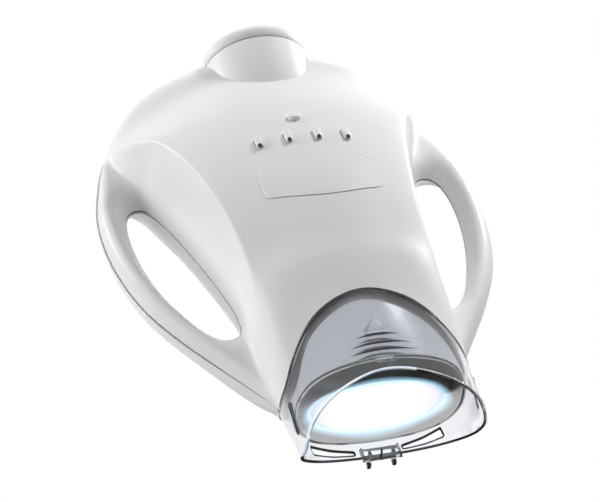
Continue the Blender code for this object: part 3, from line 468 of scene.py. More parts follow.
# Sizes of the covers in metres, and the rails and rows that their cages follow.
covers = {
    "halfWidth": 0.118, "nose": 0.150, "tail": 0.1685, "crown": 0.0715, "belly": 0.037, "waist": 0.040,
    "wall": 0.0024, "partingGap": 0.0007, "partingRise": 0.0009, "sideDrop": 0.005, "sideLip": 0.0002,
    "skirt": 0.003, "deck": 0.012, "grip": 0.0125, "ridgeInset": 0.0095, "ridgeRound": 0.0022,
    "creaseIn": 0.007, "creaseDown": 0.008, "lean": 0.004, "overrun": 0.020, "tailPower": 2.5, "domePower": 6.0,
    "bellyPower": 3.5, "sideFall": 0.45, "crownPower": 2.1, "hub": 0.70, "noseOverrun": 0.4, "rearStart": 0.1350,
    "noseShare": 0.4322,
}
span = covers["tail"] - covers["waist"]  # of the round tail
rails = {  # (share of the length, share of the height or half width)
    "crown": [(-1.03, 0.645), (-0.9, 0.71), (-0.74, 0.79), (-0.5, 0.885), (-0.25, 0.957), (0.06, 1.0),
              (0.23, 0.99), (0.42, 0.952), (0.57, 0.915), (0.75, 0.885), (1.0, 0.86)],
    "creaseX": [(-0.8, 0.443), (-0.65, 0.44), (-0.5, 0.438), (-0.33, 0.448), (-0.1, 0.49), (0.09, 0.54),
                (0.23, 0.585), (0.33, 0.635), (0.42, 0.705), (0.52, 0.775), (0.67, 0.845)],
    "creaseZ": [(-0.8, 0.51), (-0.65, 0.57), (-0.5, 0.65), (-0.33, 0.735), (-0.1, 0.79), (0.09, 0.785),
                (0.23, 0.75), (0.33, 0.70), (0.42, 0.61), (0.52, 0.45), (0.67, 0.17)],
    "slotIn": [(-1.0, 0.40), (-0.8, 0.425), (-0.5, 0.445), (-0.33, 0.462), (-0.13, 0.52), (0.08, 0.59),
               (0.23, 0.66), (0.33, 0.725), (0.42, 0.76), (0.67, 0.80)],
    "slotOut": [(-1.0, 0.41), (-0.8, 0.46), (-0.5, 0.605), (-0.33, 0.70), (-0.13, 0.785), (0.08, 0.83),
                (0.23, 0.84), (0.33, 0.82), (0.42, 0.82), (0.67, 0.85)],
    "outline": [(-1.0, 0.40), (-0.9, 0.417), (-0.79, 0.50), (-0.69, 0.587), (-0.53, 0.712), (-0.39, 0.827),
                (-0.24, 0.905), (-0.1, 0.952), (0.02, 0.983), (0.17, 1.0), (0.28, 0.998), (0.43, 0.968),
                (0.57, 0.925), (0.67, 0.889)],
    "belly": [(-1.0, 0.53), (-0.87, 0.56), (-0.72, 0.68), (-0.5, 0.87), (-0.25, 0.98), (0.0, 1.0),
              (0.4, 0.97), (0.7, 0.85), (1.0, 0.7)],
}
noseRows = [
    [(0, 0.74, 0.793), (0.205, 0.8, 0.743), (0.368, 0.923, 0.554), (0.406, 0.977, 0.45), (0.434, 0.993, 0.314),
     (0.433, 0.967, 0.171), (0.43, 0.94, 0.114), (0.427, 0.927, 0.086), (0.425, 0.917, 0.057),
     (0.422, 0.907, 0.029), (0.419, 0.897, 0)],
    [(0, 0.673, 0.829), (0.205, 0.72, 0.757), (0.359, 0.84, 0.6), (0.423, 0.873, 0.5), (0.447, 0.887, 0.357),
     (0.457, 0.873, 0.214), (0.462, 0.86, 0.164), (0.466, 0.853, 0.15), (0.47, 0.843, 0.129),
     (0.474, 0.837, 0.086), (0.474, 0.827, 0)],
    [(0, 0.553, 0.875), (0.23, 0.56, 0.829), (0.379, 0.567, 0.721), (0.438, 0.567, 0.621),
     (0.449, 0.567, 0.471), (0.449, 0.56, 0.186), (0.496, 0.56, 0.164), (0.573, 0.553, 0.164),
     (0.632, 0.553, 0.171), (0.679, 0.56, 0.136), (0.692, 0.56, 0)],
]
slotRows = [-0.49, -0.3, -0.05, 0.18, 0.325]
shoulderRows = [0.395, 0.515, 0.655]
shoulders = [
    [(0.709, 0.15), (0.744, 0.136), (0.812, 0.136), (0.889, 0.171), (0.953, 0.143), (0.972, 0)],
    [(0.799, 0.129), (0.821, 0.114), (0.846, 0.121), (0.88, 0.143), (0.923, 0.121), (0.942, 0)],
    [(0.862, 0.1), (0.87, 0.079), (0.876, 0.057), (0.882, 0.04), (0.888, 0.021), (0.893, 0)],
]
tailTurns = [0.18, 0.38, 0.6, 0.8, 1.0]
tailRings = [0.0, 0.5, 0.78, 0.86, 0.9, 0.93, 0.955, 0.975, 0.988, 0.997, 1.0]
rearNose = [(0, 0.867, 0.286), (0.24, 0.867, 0.271), (0.35, 0.873, 0.214), (0.395, 0.88, 0.157),
            (0.41, 0.887, 0.114), (0.415, 0.89, 0.079), (0.418, 0.893, 0.043), (0.421, 0.895, 0.02), (0.422, 0.897, 0)]
rearPlaces = [-0.827, -0.56] + slotRows + shoulderRows
rearRings = [0.0, 0.45, 0.72, 0.84, 0.91, 0.96, 0.99, 0.998, 1.0]


def rail(name, place):  # smooth curve through a rail's pairs
    spots = [spot for spot, value in rails[name]]
    values = [value for spot, value in rails[name]]
    place = min(max(place, spots[0]), spots[-1])
    k = max(i for i in range(len(spots) - 1) if spots[i] <= place)
    step = spots[k + 1] - spots[k]

    def slope(i):
        low, high = max(i - 1, 0), min(i + 1, len(spots) - 1)
        return (values[high] - values[low]) / (spots[high] - spots[low])

    t = (place - spots[k]) / step
    rise = values[k + 1] - values[k]
    bend = slope(k) * t * (1 - t) ** 2 - slope(k + 1) * t * t * (1 - t)
    return values[k] + rise * t * t * (3 - 2 * t) + step * bend


def along(share):
    return share * (covers["nose"] if share < 0 else covers["tail"])


def shareOf(y):
    return y / (covers["nose"] if y < 0 else covers["tail"])


def crownAt(share):
    return covers["crown"] * rail("crown", share)


def apron(x, share):  # height between the two creases
    edgeX = covers["halfWidth"] * rail("creaseX", share)
    edgeZ = covers["crown"] * rail("creaseZ", share)
    return crownAt(share) - (crownAt(share) - edgeZ) * (abs(x) / edgeX) ** covers["crownPower"]


def tailOutline(turnShare):
    start = math.asin(((along(shoulderRows[-1]) - covers["waist"]) / span) ** (covers["tailPower"] / 2))
    turn = start + (math.pi / 2 - start) * turnShare
    grow = 2 / covers["tailPower"]
    return covers["halfWidth"] * max(math.cos(turn), 0) ** grow, covers["waist"] + span * math.sin(turn) ** grow


def dome(x, y):  # height of the front cover's tail
    power = covers["tailPower"]
    radius = ((abs(x) / covers["halfWidth"]) ** power + (max(y - covers["waist"], 0) / span) ** power) ** (1 / power)
    side = 1 - covers["sideFall"] * (x / covers["halfWidth"]) ** 2
    return crownAt(shareOf(y)) * side * max(1 - radius ** covers["domePower"], 0) ** 0.5


def tailFan(rings, height):  # rows that fan round the tail
    rows = []
    hub = covers["tail"] * covers["hub"]
    for turnShare in tailTurns:
        outX, outY = tailOutline(turnShare)
        spots = [(outX * ring, hub + (outY - hub) * ring) for ring in rings]
        rows.append([(x, y, height(x, y, ring)) for (x, y), ring in zip(spots, rings)])
    return rows


def pastTheEdge(rows):  # carries the first row on, so that the nose cut meets whole surface
    ahead = [Vector(spot) + (Vector(spot) - Vector(after)) * covers["noseOverrun"]
             for spot, after in zip(rows[0], rows[1])]
    return [ahead] + rows[1:]


def frontRows():  # right half, nose to tail, each row from the crown to the outline
    wide, tall, skirt, deck = (covers[size] for size in ("halfWidth", "crown", "skirt", "deck"))
    rows = [[(x * wide, -y * covers["nose"], z * tall or -skirt) for x, y, z in shares] for shares in noseRows]
    for share in slotRows + shoulderRows:
        creaseX = wide * rail("creaseX", share)
        creaseZ = tall * rail("creaseZ", share)
        innerX, sideX = creaseX / 2, creaseX - covers["creaseIn"]
        row = [(0, crownAt(share)), (innerX, apron(innerX, share)), (sideX, apron(sideX, share)), (creaseX, creaseZ)]
        if share in slotRows:
            inside = wide * rail("slotIn", share)
            outside = wide * rail("slotOut", share)
            outer = wide * rail("outline", share)
            footX = inside - covers["lean"] / 2
            row += [((creaseX + footX) / 2, creaseZ - covers["creaseDown"]), (footX, deck)]
            row += [(inside, -skirt), (outside, -skirt), (outer - covers["ridgeInset"], deck),
                    (outer - covers["ridgeRound"], deck - covers["ridgeRound"]), (outer, -skirt)]
        else:
            lower = [(x * wide, z * tall or -skirt) for x, z in shoulders[shoulderRows.index(share)]]
            row += [((creaseX + lower[0][0]) / 2, (creaseZ + lower[0][1]) / 2)] + lower
        rows.append([(x, along(share), z) for x, z in row])

    def height(x, y, ring):
        return dome(x, y) if ring < 1 else -skirt

    return pastTheEdge(rows) + tailFan(tailRings, height)


def rearRows():  # right half, nose to tail, each row from the outline to the middle
    wide, skirt, grip, lean, lip = (covers[size] for size in ("halfWidth", "skirt", "grip", "lean", "sideLip"))
    rows = [[(x * wide, -y * covers["nose"], -z * covers["crown"] or skirt) for x, y, z in rearNose]]

    def bellyAt(share):
        return covers["belly"] * rail("belly", share)

    for share in rearPlaces:
        inside = wide * rail("slotIn", share)
        outside = wide * rail("slotOut", share)
        outer = wide * rail("outline", share) + lip
        if share in rearPlaces[:2]:  # follows the front cover's nose
            outer = wide * noseRows[rearPlaces.index(share) + 1][-1][0] + lip
        depth = bellyAt(share)
        rim = skirt if share in slotRows else -grip
        if share > rearPlaces[-3]:
            row = [(outer * ring, -depth * (1 - ring ** covers["bellyPower"]) ** 0.5 if ring < 1 else skirt)
                   for ring in rearRings]
        else:
            row = [(0, -depth), (inside / 2, -depth), (inside - lean * 2, -(depth + grip) / 2),
                   (inside - lean / 2, -grip), (inside, rim), (outside, rim),
                   (max(outer - lean, (outside + outer) / 2), -grip),
                   (outer - lip, -covers["sideDrop"]), (outer, skirt)]
        rows.append([(x, along(share), z) for x, z in row])

    def height(x, y, ring):
        return -bellyAt(shareOf(y)) * (1 - ring ** covers["bellyPower"]) ** 0.5 if ring < 1 else skirt

    return [row[::-1] for row in pastTheEdge(rows) + tailFan(rearRings, height)]


# The light guide's size, and its ring as shares of the nose, seen along the head.
noseHalf = covers["halfWidth"] * covers["noseShare"]
guide = {
    "wall": 0.0014, "gap": 0.0006, "cutDepth": 0.010, "sweepPower": 1.6, "sweepRise": 1.1,
    "rim": {"half": noseHalf - 0.0033, "height": 0.031, "middle": 0.0132, "front": 0.164, "sweep": 0.0225,
            "power": 3.2},
    "waistShare": 0.5, "roundPasses": 3,
    "rings": [(0, 0.74, 0.793), (0.275, 0.763, 0.77), (0.55, 0.807, 0.687), (0.745, 0.873, 0.619),
              (0.863, 0.933, 0.537), (0.95, 0.987, 0.42), (1.0, 0.993, 0.314), (0.995, 0.967, 0.171),
              (0.98, 0.933, 0.057), (0.96, 0.9, -0.07), (0.863, 0.88, -0.179), (0.55, 0.87, -0.243),
              (0, 0.867, -0.286)],
}


def edgeRing(inset, forward):  # the covers' edge at the nose, drawn in and moved forward
    middle = covers["crown"] * (guide["rings"][0][2] + guide["rings"][-1][2]) / 2
    ring = []
    for x, y, z in guide["rings"]:
        spot = Vector((x * noseHalf, -y * covers["nose"] - forward, z * covers["crown"]))
        inward = Vector((-spot.x, 0, middle - spot.z)).normalized()
        ring.append(spot + inward * inset)
    return ring


def ovalRing(oval):  # an oval's half width, height, middle, front, sweep and power, along the nose's points
    half, height, power = oval["half"], oval["height"], oval["power"]
    centre = (guide["rings"][0][2] + guide["rings"][-1][2]) / 2
    spread = (guide["rings"][0][2] - guide["rings"][-1][2]) / 2
    ring = []
    for x, y, z in guide["rings"]:
        xShare, zShare = x, (z - centre) / spread
        size = (abs(xShare) ** power + abs(zShare) ** power) ** (1 / power)
        spotX, spotZ = half * xShare / size, height * zShare / size
        swept = min((spotZ / height + 1) / guide["sweepRise"], 1)
        swept *= oval["sweep"] * (spotX / half) ** guide["sweepPower"]
        ring.append(Vector((spotX, -oval["front"] - swept, oval["middle"] + spotZ)))
    return ring


def mixRings(ring, other, share):
    return [a.lerp(b, share) for a, b in zip(ring, other)]


def wholeRing(halfRing):  # both halves, rounded as the shells' open edges are
    ring = halfRing + [Vector((-spot.x, spot.y, spot.z)) for spot in halfRing[-2:0:-1]]
    for turn in range(guide["roundPasses"]):
        rounded = []
        for k, spot in enumerate(ring):
            before, after = ring[k - 1], ring[(k + 1) % len(ring)]
            rounded += [(before + spot * 6 + after) / 8, (spot + after) / 2]
        ring = rounded
    return ring


def edgeCutter(near, far):  # ring round the nose edge, between two places ahead of it
    depth = guide["cutDepth"]
    loops = [wholeRing(edgeRing(depth, near)), wholeRing(edgeRing(-depth, near)),
             wholeRing(edgeRing(-depth, far)), wholeRing(edgeRing(depth, far))]
    columns = len(loops[0])
    bpy.ops.mesh.primitive_torus_add(major_segments=columns, minor_segments=4)
    piece = bpy.context.object
    for vert in piece.data.vertices:
        vert.co = loops[vert.index % 4][vert.index // 4]
    faceOutwards(piece)
    return piece


handHoles = {(i, 6) for i in range(3, 7)}  # cage cells that the hand slots leave open
ridges = [(3, 2, 9, 0.4), (5, 3, 7, 0.25), (8, 3, 7, 0.3)]  # cage column, first and last row, sharpness


def frontCage(name):
    return cage(name, frontRows(), handHoles, ridges=ridges)


front = frontCage("frontShell")
shell(front, covers["wall"])
rear = cage("rearShell", rearRows(), {(i, 3) for i in range(3, 7)})
shell(rear, covers["wall"])
sliceOff(rear, (0, -covers["rearStart"], 0), (0, -1, 0))
for cover, side in ((front, -1), (rear, 1)):
    sliceOff(cover, (0, 0, covers["partingRise"] - side * covers["partingGap"] / 2), (0, 0, side))
    joinOrCut(cover, edgeCutter(0, covers["nose"]))

seam = {"recess": 0.0005, "width": 0.0012, "height": 0.0006}  # dark cord that fills the parting line: painted shade for the shadow in the gap between the covers
partingShadeCord = frontCage("partingLineShadeCord")
roundOut(partingShadeCord, seam["recess"])
addModifier(partingShadeCord, "SOLIDIFY", thickness=seam["width"], offset=-1)
applyModifiers(partingShadeCord)
size = [length + covers["overrun"] for length in (2 * covers["halfWidth"], covers["nose"] + covers["tail"])]
middleY = (covers["tail"] - covers["nose"]) / 2
joinOrCut(partingShadeCord, block((*size, seam["height"]), (0, middleY, covers["partingRise"])), "INTERSECT")
joinOrCut(partingShadeCord, edgeCutter(0, covers["nose"]))
settle(partingShadeCord, "head", "lens_gasket", silicone)
print("stage 4: covers shaped")

keys = {"y": 0.0175, "pitch": 0.0173, "count": 4, "width": 0.0040, "length": 0.011, "rise": 0.0026, "foot": 0.0040,
        "buttonY": 0.0387, "buttonWidth": 0.0074, "buttonRise": 0.0025, "clearance": 0.0004, "holeHalf": 0.01,
        "round": 0.0010, "roundSteps": 5, "edge": 0.0001, "smooth": 50,
        "shadeDotRadius": 0.0013, "shadeDotFoot": -0.0012, "shadeDotTop": 0.0002, "windowAndShadeDotRound": 0.0005,
        "shadeDotIn": 0.00044, "shadeDotDrop": 0.00045, "shadeDotLean": 0.785}
keyPlaces = [("start_button", 0, keys["buttonY"], keys["buttonWidth"], keys["buttonWidth"], keys["buttonRise"])]
for number in range(keys["count"]):
    x = (number - (keys["count"] - 1) / 2) * keys["pitch"]
    keyPlaces.append((f"session_key_{number + 1}", x, keys["y"], keys["width"], keys["length"], keys["rise"]))
settled = []
for node, x, y, width, length, rise in keyPlaces:  # every lean is read before the first hole is cut
    tilt = math.atan((topOf(front, x + width, y) - topOf(front, x - width, y)) / (2 * width))
    nose = math.atan((topOf(front, x, y + width) - topOf(front, x, y - width)) / (2 * width))
    settled.append((node, (x, y, topOf(front, x, y)), (nose, -tilt, 0), width, length, rise))
for node, at, lean, width, length, rise in settled:
    grow = 2 * keys["clearance"]
    joinOrCut(front, pill(width + grow, length + grow, -keys["holeHalf"], keys["holeHalf"], at=at, lean=lean))
    key = pill(width, length, -keys["foot"], rise)
    key.name = node.replace("session_key", "sessionKey").replace("start_button", "startButton") + "_top"
    roundTop(key, rise - keys["edge"], min(keys["round"], rise * 0.9), keys["roundSteps"])
    put(key, at, lean)
    standFor(key, node + "_body", node, keyAbs, keys["smooth"])
    if length == width:
        continue
    # A dark dot at each bar's lower end: painted shade where the bar's round end turns away from the light.
    shadeDotAndLens = rod(keys["shadeDotRadius"], keys["shadeDotFoot"], keys["shadeDotTop"], 24)
    shadeDotAndLens.name = node.replace("session_key", "keyEndShadeDot")
    roundTop(shadeDotAndLens, 0, keys["windowAndShadeDotRound"], 4)
    end = Matrix.Translation((0, keys["shadeDotIn"] - length / 2, rise - keys["shadeDotDrop"]))
    shadeDotAndLens.matrix_world = (Matrix.Translation(at) @ Euler(lean).to_matrix().to_4x4() @ end
                           @ Matrix.Rotation(keys["shadeDotLean"], 4, "X"))
    settle(shadeDotAndLens, node + "_body", node, keyEndPaintedShade, keys["smooth"])
print("stage 5: keys set in the front cover")

# The bare panel below the keys, its outline in millimetres.
panel = {"lineHalf": 0.00035, "lineRise": 0.00012, "lineIn": 0.99, "proud": 0.00035, "sink": 0.0010,
         "round": 0.0003, "sharpest": 50, "middle": 0.001, "steps": 4, "cut": (0.05, 0.09),
         "outline": [(0, -0.2), (10, -0.3), (17.6, -1.1), (24, -2.2), (28.6, -3.4), (31.6, -4.8), (33.3, -7.6),
                     (34.0, -12), (34.3, -19), (34.1, -26), (33.7, -30.2), (32.6, -32), (29.5, -33.4), (24, -34.8),
                     (16, -36.8), (8, -38.3), (0, -38.9)]}
outline = [(x / 1000, y / 1000) for x, y in panel["outline"]]
outline += [(-x, y) for x, y in outline[-2:0:-1]]
outline = [(x + panel["middle"], y) for x, y in smoothLoop(outline, panel["steps"])]
skin = frontCage("barePanel")
roundOut(skin)
thickness = panel["proud"] + panel["sink"]
addModifier(skin, "SOLIDIFY", thickness=thickness, offset=2 * panel["proud"] / thickness - 1)
applyModifiers(skin)
joinOrCut(skin, prism(outline, *panel["cut"]), "INTERSECT")
soften(skin, panel["round"], 3, panel["sharpest"])
centreX, centreY = outlineMiddle(outline)
rimPath = []
for x, y in outline:
    x, y = centreX + (x - centreX) * panel["lineIn"], centreY + (y - centreY) * panel["lineIn"]
    rimPath.append((Vector((x, y, topOf(skin, x, y))), Vector((0, 0, 1))))
# A thin bead along the panel's outline, painted as a highlight.
line = tube("panelLine", rimPath, panel["lineHalf"], panel["lineRise"], closed=True)
settle(line, "head", "front_cover", paintedHighlightEdge, angle=60)
settle(skin, "head", "front_cover", panelAbs, angle=40)
print("stage 6: bare panel laid on the crown")

# The rear cover's posts with their sunk screws, and its cooling slots.
posts = {"places": [(0.53, -0.62), (0.84, 0.435)], "radius": 0.005, "top": -0.001, "wellRadius": 0.0038,
         "wellFloor": 0.0065, "screwRadius": 0.0031, "screwHeight": 0.0022, "screwGap": 0.0001, "screwRound": 0.0004,
         "driveWidth": 0.0009, "driveLength": 0.0040, "driveDepth": 0.0009}
vents = {"count": 6, "width": 0.0025, "pitch": 0.007, "length": 0.046, "y": -0.048, "depth": 0.04}
below = -covers["belly"] - covers["overrun"]
wellFloor, screwFace = -posts["wellFloor"], -posts["wellFloor"] - posts["screwHeight"]
for k, (xShare, yShare) in enumerate(posts["places"]):
    for side, name in ((-1, "left"), (1, "right")):
        at = (side * xShare * covers["halfWidth"], along(yShare), 0)
        foot = topOf(rear, at[0], at[1], -1) + covers["wall"] / 2
        joinOrCut(rear, rod(posts["radius"], foot, posts["top"], 32, at), "UNION")
        joinOrCut(rear, rod(posts["wellRadius"], below, wellFloor, 40, at))
        screw = rod(posts["screwRadius"], screwFace, wellFloor - posts["screwGap"], 32, at)
        screw.name = f"coverScrew_{k + 1}_{name}"
        for turn in (0, math.pi / 2):
            joinOrCut(screw, pill(posts["driveWidth"], posts["driveLength"], below, screwFace + posts["driveDepth"],
                                  8, at, (0, 0, turn)))
        soften(screw, posts["screwRound"], 2)
        settle(screw, "head", "rear_cover", zincPlated)
for number in range(vents["count"]):
    at = ((number - (vents["count"] - 1) / 2) * vents["pitch"], vents["y"], 0)
    joinOrCut(rear, pill(vents["width"], vents["length"], below, below + vents["depth"], 24, at))
standFor(rear, "head", "rear_cover", satinAbs)
print("stage 7: rear cover finished")

outward = Vector((0, math.cos(neck["tilt"]), math.sin(neck["tilt"])))
over = Vector((0, -math.sin(neck["tilt"]), math.cos(neck["tilt"])))
bore = neck["radius"] + neck["clearance"]
rows = []
for step in range(neck["steps"] + 1):  # moulded wall that lines the neck's hole, from the cover's surface inwards
    turn = math.tau * step / neck["steps"]
    side = Vector((math.cos(turn), 0, 0)) + over * math.sin(turn)
    sink = neck["wellSink"] + neck["wellDip"] * max(math.sin(turn) + neck["wellTurn"], 0)
    feet, mouths = [], []
    for reach in (bore, bore + neck["wellWall"]):
        spot = Vector((0, neck["y"], neck["z"])) + side * reach
        surface = front.ray_cast(spot + outward * neck["depth"] * 2, -outward)[1]
        mouth = (surface - spot).dot(outward) - sink
        feet.append(spot + outward * min(neck["wellFoot"], mouth - neck["wellWall"]))
        mouths.append(spot + outward * mouth)
    rows.append([feet[0], feet[1], mouths[1], mouths[0], feet[0]])
well = cage("neckWell", rows)
faceOutwards(well)
settle(well, "head", "front_cover", satinAbs)
joinOrCut(front, standOnNeck(rod(bore, -neck["depth"], neck["depth"], neck["steps"])))
standFor(front, "head", "front_cover", satinAbs)

outer, inner, soft = neck["radius"], neck["radius"] - neck["wall"], neck["edgeRound"]
flange, web = neck["radius"] + neck["flangeRim"], -neck["webTop"] - neck["webThickness"]
top, foot = -neck["seamGap"] / 2, -neck["depth"]
profile = [(outer - soft, top), (outer - soft * 0.3, top - soft * 0.3), (outer, top - soft),
           (outer, foot + neck["flangeThickness"]), (flange, foot + neck["flangeThickness"]), (flange, foot),
           (inner, foot), (inner, web), (neck["webHole"], web), (neck["webHole"], -neck["webTop"]),
           (inner, -neck["webTop"]), (inner, top)]
sleeve = lathe("neckSleeve", profile)
standFor(sleeve, "head", "neck_tube", satinAbs)

profile = []
for k in range(neck["capSteps"] + 1):  # rounded rim of the cap
    turn = math.pi / 2 * (1 - k / neck["capSteps"])
    profile.append((outer - neck["capRound"] * (1 - math.cos(turn)),
                    neck["capLength"] - neck["capRound"] * (1 - math.sin(turn))))
bottom, floor = neck["seamGap"] / 2, neck["capLength"] - neck["socketDepth"]
profile += [(outer, bottom + soft), (outer - soft * 0.3, bottom + soft * 0.3), (outer - soft, bottom),
            (neck["hubRadius"], bottom), (neck["hubRadius"], -neck["hubDepth"]),
            (neck["shaftFit"], -neck["hubDepth"]), (neck["shaftFit"], floor), (neck["socketRadius"], floor),
            (neck["socketRadius"], neck["capLength"] - soft), (neck["socketRadius"] + soft, neck["capLength"])]
cap = lathe("swivelCapShell", profile)
standFor(cap, "arm_side", "swivel_cap", satinAbs)
print("stage 8: neck and cap turned")

# The clear guide with its windows, side slots, grip ribs, mark, beads and catches.
guideFinishes = [clearAcrylic, acrylicEdgePaintedShade, litEdge]
guideParts = {
    "windows": [(13, -158.6), (13, -161.8), (25, -161.8), (36, -161.2), (36, -153.6), (25, -156.4)],  # millimetres
    "windowAndShadeDotRound": 0.0012, "windowCut": (-0.04, -0.002), "edgeLine": 0.0005,
    "slotY": (-0.158, -0.175), "slotZ": (0.0235, 0.0175), "slotHalf": 0.0014, "slotSteps": 32, "slotCut": (0.03, 0.06),
    "ribs": [(0.0120, -0.1429, 0.0013), (0.0168, -0.1482, 0.0022), (0.0184, -0.1526, 0.0027)], "ribHalf": 0.0008,
    "ribRise": 0.0006, "ribSteps": 24, "mark": [(0, -0.1322), (0.0056, -0.1396), (-0.0056, -0.1396)],
    "markHalf": 0.0006, "markRise": 0.0005, "rimBead": 0.0005, "rimFrom": -0.155, "litTo": 0.014,
    "clearAbove": 0.006, "rearBead": 0.00045, "rearBeadY": 0.0012, "rearBeadIn": 0.0006, "beadSteps": 12,
}
rim = ovalRing(guide["rim"])
edge = edgeRing(0, -guide["wall"])
inside = Vector((0, -0.15, 0.015))  # a point inside the nose, which the outer faces look away from
visor = cage("clearGuide", [edge, mixRings(edge, rim, guide["waistShare"]), rim], inside=inside)
# The guide's cut rim takes the dark edge material: painted shade.
shell(visor, guide["wall"], rimSlot=1)
downwards, upwards = Vector((0, 0, -1)), Vector((0, 0, 1))


def darkCut(piece, cutter):  # leaves the dark edge material, painted shade, where the cutter passed
    spareSlots(cutter)
    cutter.data.polygons.foreach_set("material_index", [1] * len(cutter.data.polygons))
    joinOrCut(piece, cutter)


def wallAt(x, y, z, toward):  # spot and normal on the guide's outer wall
    return visor.ray_cast(Vector((x, y, z)) - toward * farOff, toward)[1:3]


def guidePiece(piece, finish=None, angle=50):
    settle(piece, "guide", "light_guide", finish or guideFinishes, angle)


def rimFinish(spot):  # painted glow above, clear at the right, painted shade below
    if spot.z < guideParts["clearAbove"]:
        return 1
    return 2 if spot.x < guideParts["litTo"] else 0


def bead(name, halfRing, size):  # round edge along a ring of the guide
    path = [(spot, Vector((spot.x, 0, spot.z - guide["rim"]["middle"]))) for spot in wholeRing(halfRing)[::2]]
    return tube(name, path, size, size, closed=True, steps=guideParts["beadSteps"])


darkCut(visor, edgeCutter(guide["gap"], -covers["nose"]))
edgePaths = []
for side, name in ((-1, "left"), (1, "right")):
    corners = [Vector((side * x / 1000, y / 1000)) for x, y in guideParts["windows"]]
    loop = []
    for k, corner in enumerate(corners):  # corners rounded by a short curve
        before, after = corners[k - 1], corners[(k + 1) % len(corners)]
        start = corner + (before - corner).normalized() * guideParts["windowAndShadeDotRound"]
        end = corner + (after - corner).normalized() * guideParts["windowAndShadeDotRound"]
        loop += [start.lerp(corner, t).lerp(corner.lerp(end, t), t) for t in (0, 0.25, 0.5, 0.75, 1)]
    edgePaths.append(("windowEdge_" + name, [wallAt(x, y, 0, upwards) for x, y in loop]))
    darkCut(visor, prism([(x, y) for x, y in loop], *guideParts["windowCut"]))
(y0, y1), (z0, z1), half = guideParts["slotY"], guideParts["slotZ"], guideParts["slotHalf"]
lean, straight = math.atan2(z1 - z0, y1 - y0), math.hypot(y1 - y0, z1 - z0) / 2 - half
loop = []
for step in range(guideParts["slotSteps"]):  # outline of a side slot
    turn = math.tau * step / guideParts["slotSteps"]
    forth, across = math.cos(turn) * half + math.copysign(straight, math.cos(turn)), math.sin(turn) * half
    loop.append(((y0 + y1) / 2 + forth * math.cos(lean) - across * math.sin(lean),
                 (z0 + z1) / 2 + forth * math.sin(lean) + across * math.cos(lean)))
for side, name in ((-1, "left"), (1, "right")):
    edgePaths.append(("slotEdge_" + name, [wallAt(0, y, z, Vector((-side, 0, 0))) for y, z in loop]))
    cutter = prism([(z, y) for y, z in loop], *guideParts["slotCut"])
    cutter.scale = (-side, 1, 1)
    put(cutter, lean=(0, math.pi / 2 * side, 0))
    faceOutwards(cutter)
    darkCut(visor, cutter)
# Window and slot outlines in the dark edge material: painted shade along the cut edges.
for name, path in edgePaths:
    guidePiece(tube(name, path, guideParts["edgeLine"], guideParts["edgeLine"], closed=True), acrylicEdgePaintedShade)

# Grip ribs in the dark edge material: painted shade along each raised rib.
for k, (half, y, sag) in enumerate(guideParts["ribs"]):
    shares = [2 * step / guideParts["ribSteps"] - 1 for step in range(guideParts["ribSteps"] + 1)]
    path = [wallAt(share * half, y - sag * share * share, 0, downwards) for share in shares]
    guidePiece(tube(f"gripRib_{k + 1}", path, guideParts["ribHalf"], guideParts["ribRise"], taper=8), acrylicEdgePaintedShade)
path = []
for k, corner in enumerate(guideParts["mark"]):
    after = guideParts["mark"][(k + 1) % 3]
    path += [wallAt(*Vector(corner).lerp(after, t), 0, downwards) for t in (0.05, 0.1, 0.35, 0.65, 0.9, 0.95)]
guidePiece(tube("arrowMark", path, guideParts["markHalf"], guideParts["markRise"], closed=True))
behind = Vector((0, guideParts["rimBead"] * 0.6, 0))
rimBead = bead("rimBead", [spot + behind for spot in rim], guideParts["rimBead"])
rimBead.data.polygons.foreach_set("material_index", [rimFinish(face.center) for face in rimBead.data.polygons])
guidePiece(rimBead)
# The rear bead in the dark edge material: painted shade along the guide's rear edge.
guidePiece(bead("rearBead", edgeRing(guideParts["rearBeadIn"], guideParts["rearBeadY"]), guideParts["rearBead"]),
           acrylicEdgePaintedShade)

# The catches' small mouldings in millimetres: name, size, place with its height from the wall, lean, dark (painted
# shade) or clear.
catches = {
    "round": 0.0003, "roofY": -0.1582, "soleY": -0.1640,
    "top": [("Plate", (10, 5, 1), (0, -158, -0.4), 0.12, False),
            ("Stem", (2.2, 1.4, 7), (2.6, -158.8, -3.8), 0.1, True),
            ("Bar", (6.6, 1, 1), (-1.6, -159.4, -1.4), 0.1, True)],
    "lower": [("Plate", (21.5, 9, 1.4), (0, -164, 2.2), 0, False),
              ("PostLeft", (1.6, 3.4, 8.5), (-6.4, -165.5, 1), 0, False),
              ("HookLeft", (2, 3, 3.4), (-7, -166.4, -2.6), 0.3, True),
              ("RailLeft", (1, 8, 3), (-10, -164, 3), 0, False),
              ("PostRight", (1.6, 3.4, 8.5), (6.4, -165.5, 1), 0, False),
              ("HookRight", (2, 3, 3.4), (7, -166.4, -2.6), 0.3, True),
              ("RailRight", (1, 8, 3), (10, -164, 3), 0, False),
              ("Bar", (14, 0.9, 1.2), (0, -168.6, 3.2), 0, True), ("Pin", (1.1, 1.1, 5), (0, -165.2, 4.2), 0, True)],
}
levels = {"top": wallAt(0, catches["roofY"], 0, downwards)[0].z - guide["wall"],
          "lower": wallAt(0, catches["soleY"], 0, upwards)[0].z}
for which, level in levels.items():
    for name, size, (x, y, z), lean, dark in catches[which]:
        piece = block([width / 1000 for width in size])
        piece.name = which + "Catch" + name
        soften(piece, catches["round"], 3)
        put(piece, (x / 1000, y / 1000, level + z / 1000), (lean, 0, 0))
        guidePiece(piece, acrylicEdgePaintedShade if dark else None, 35)
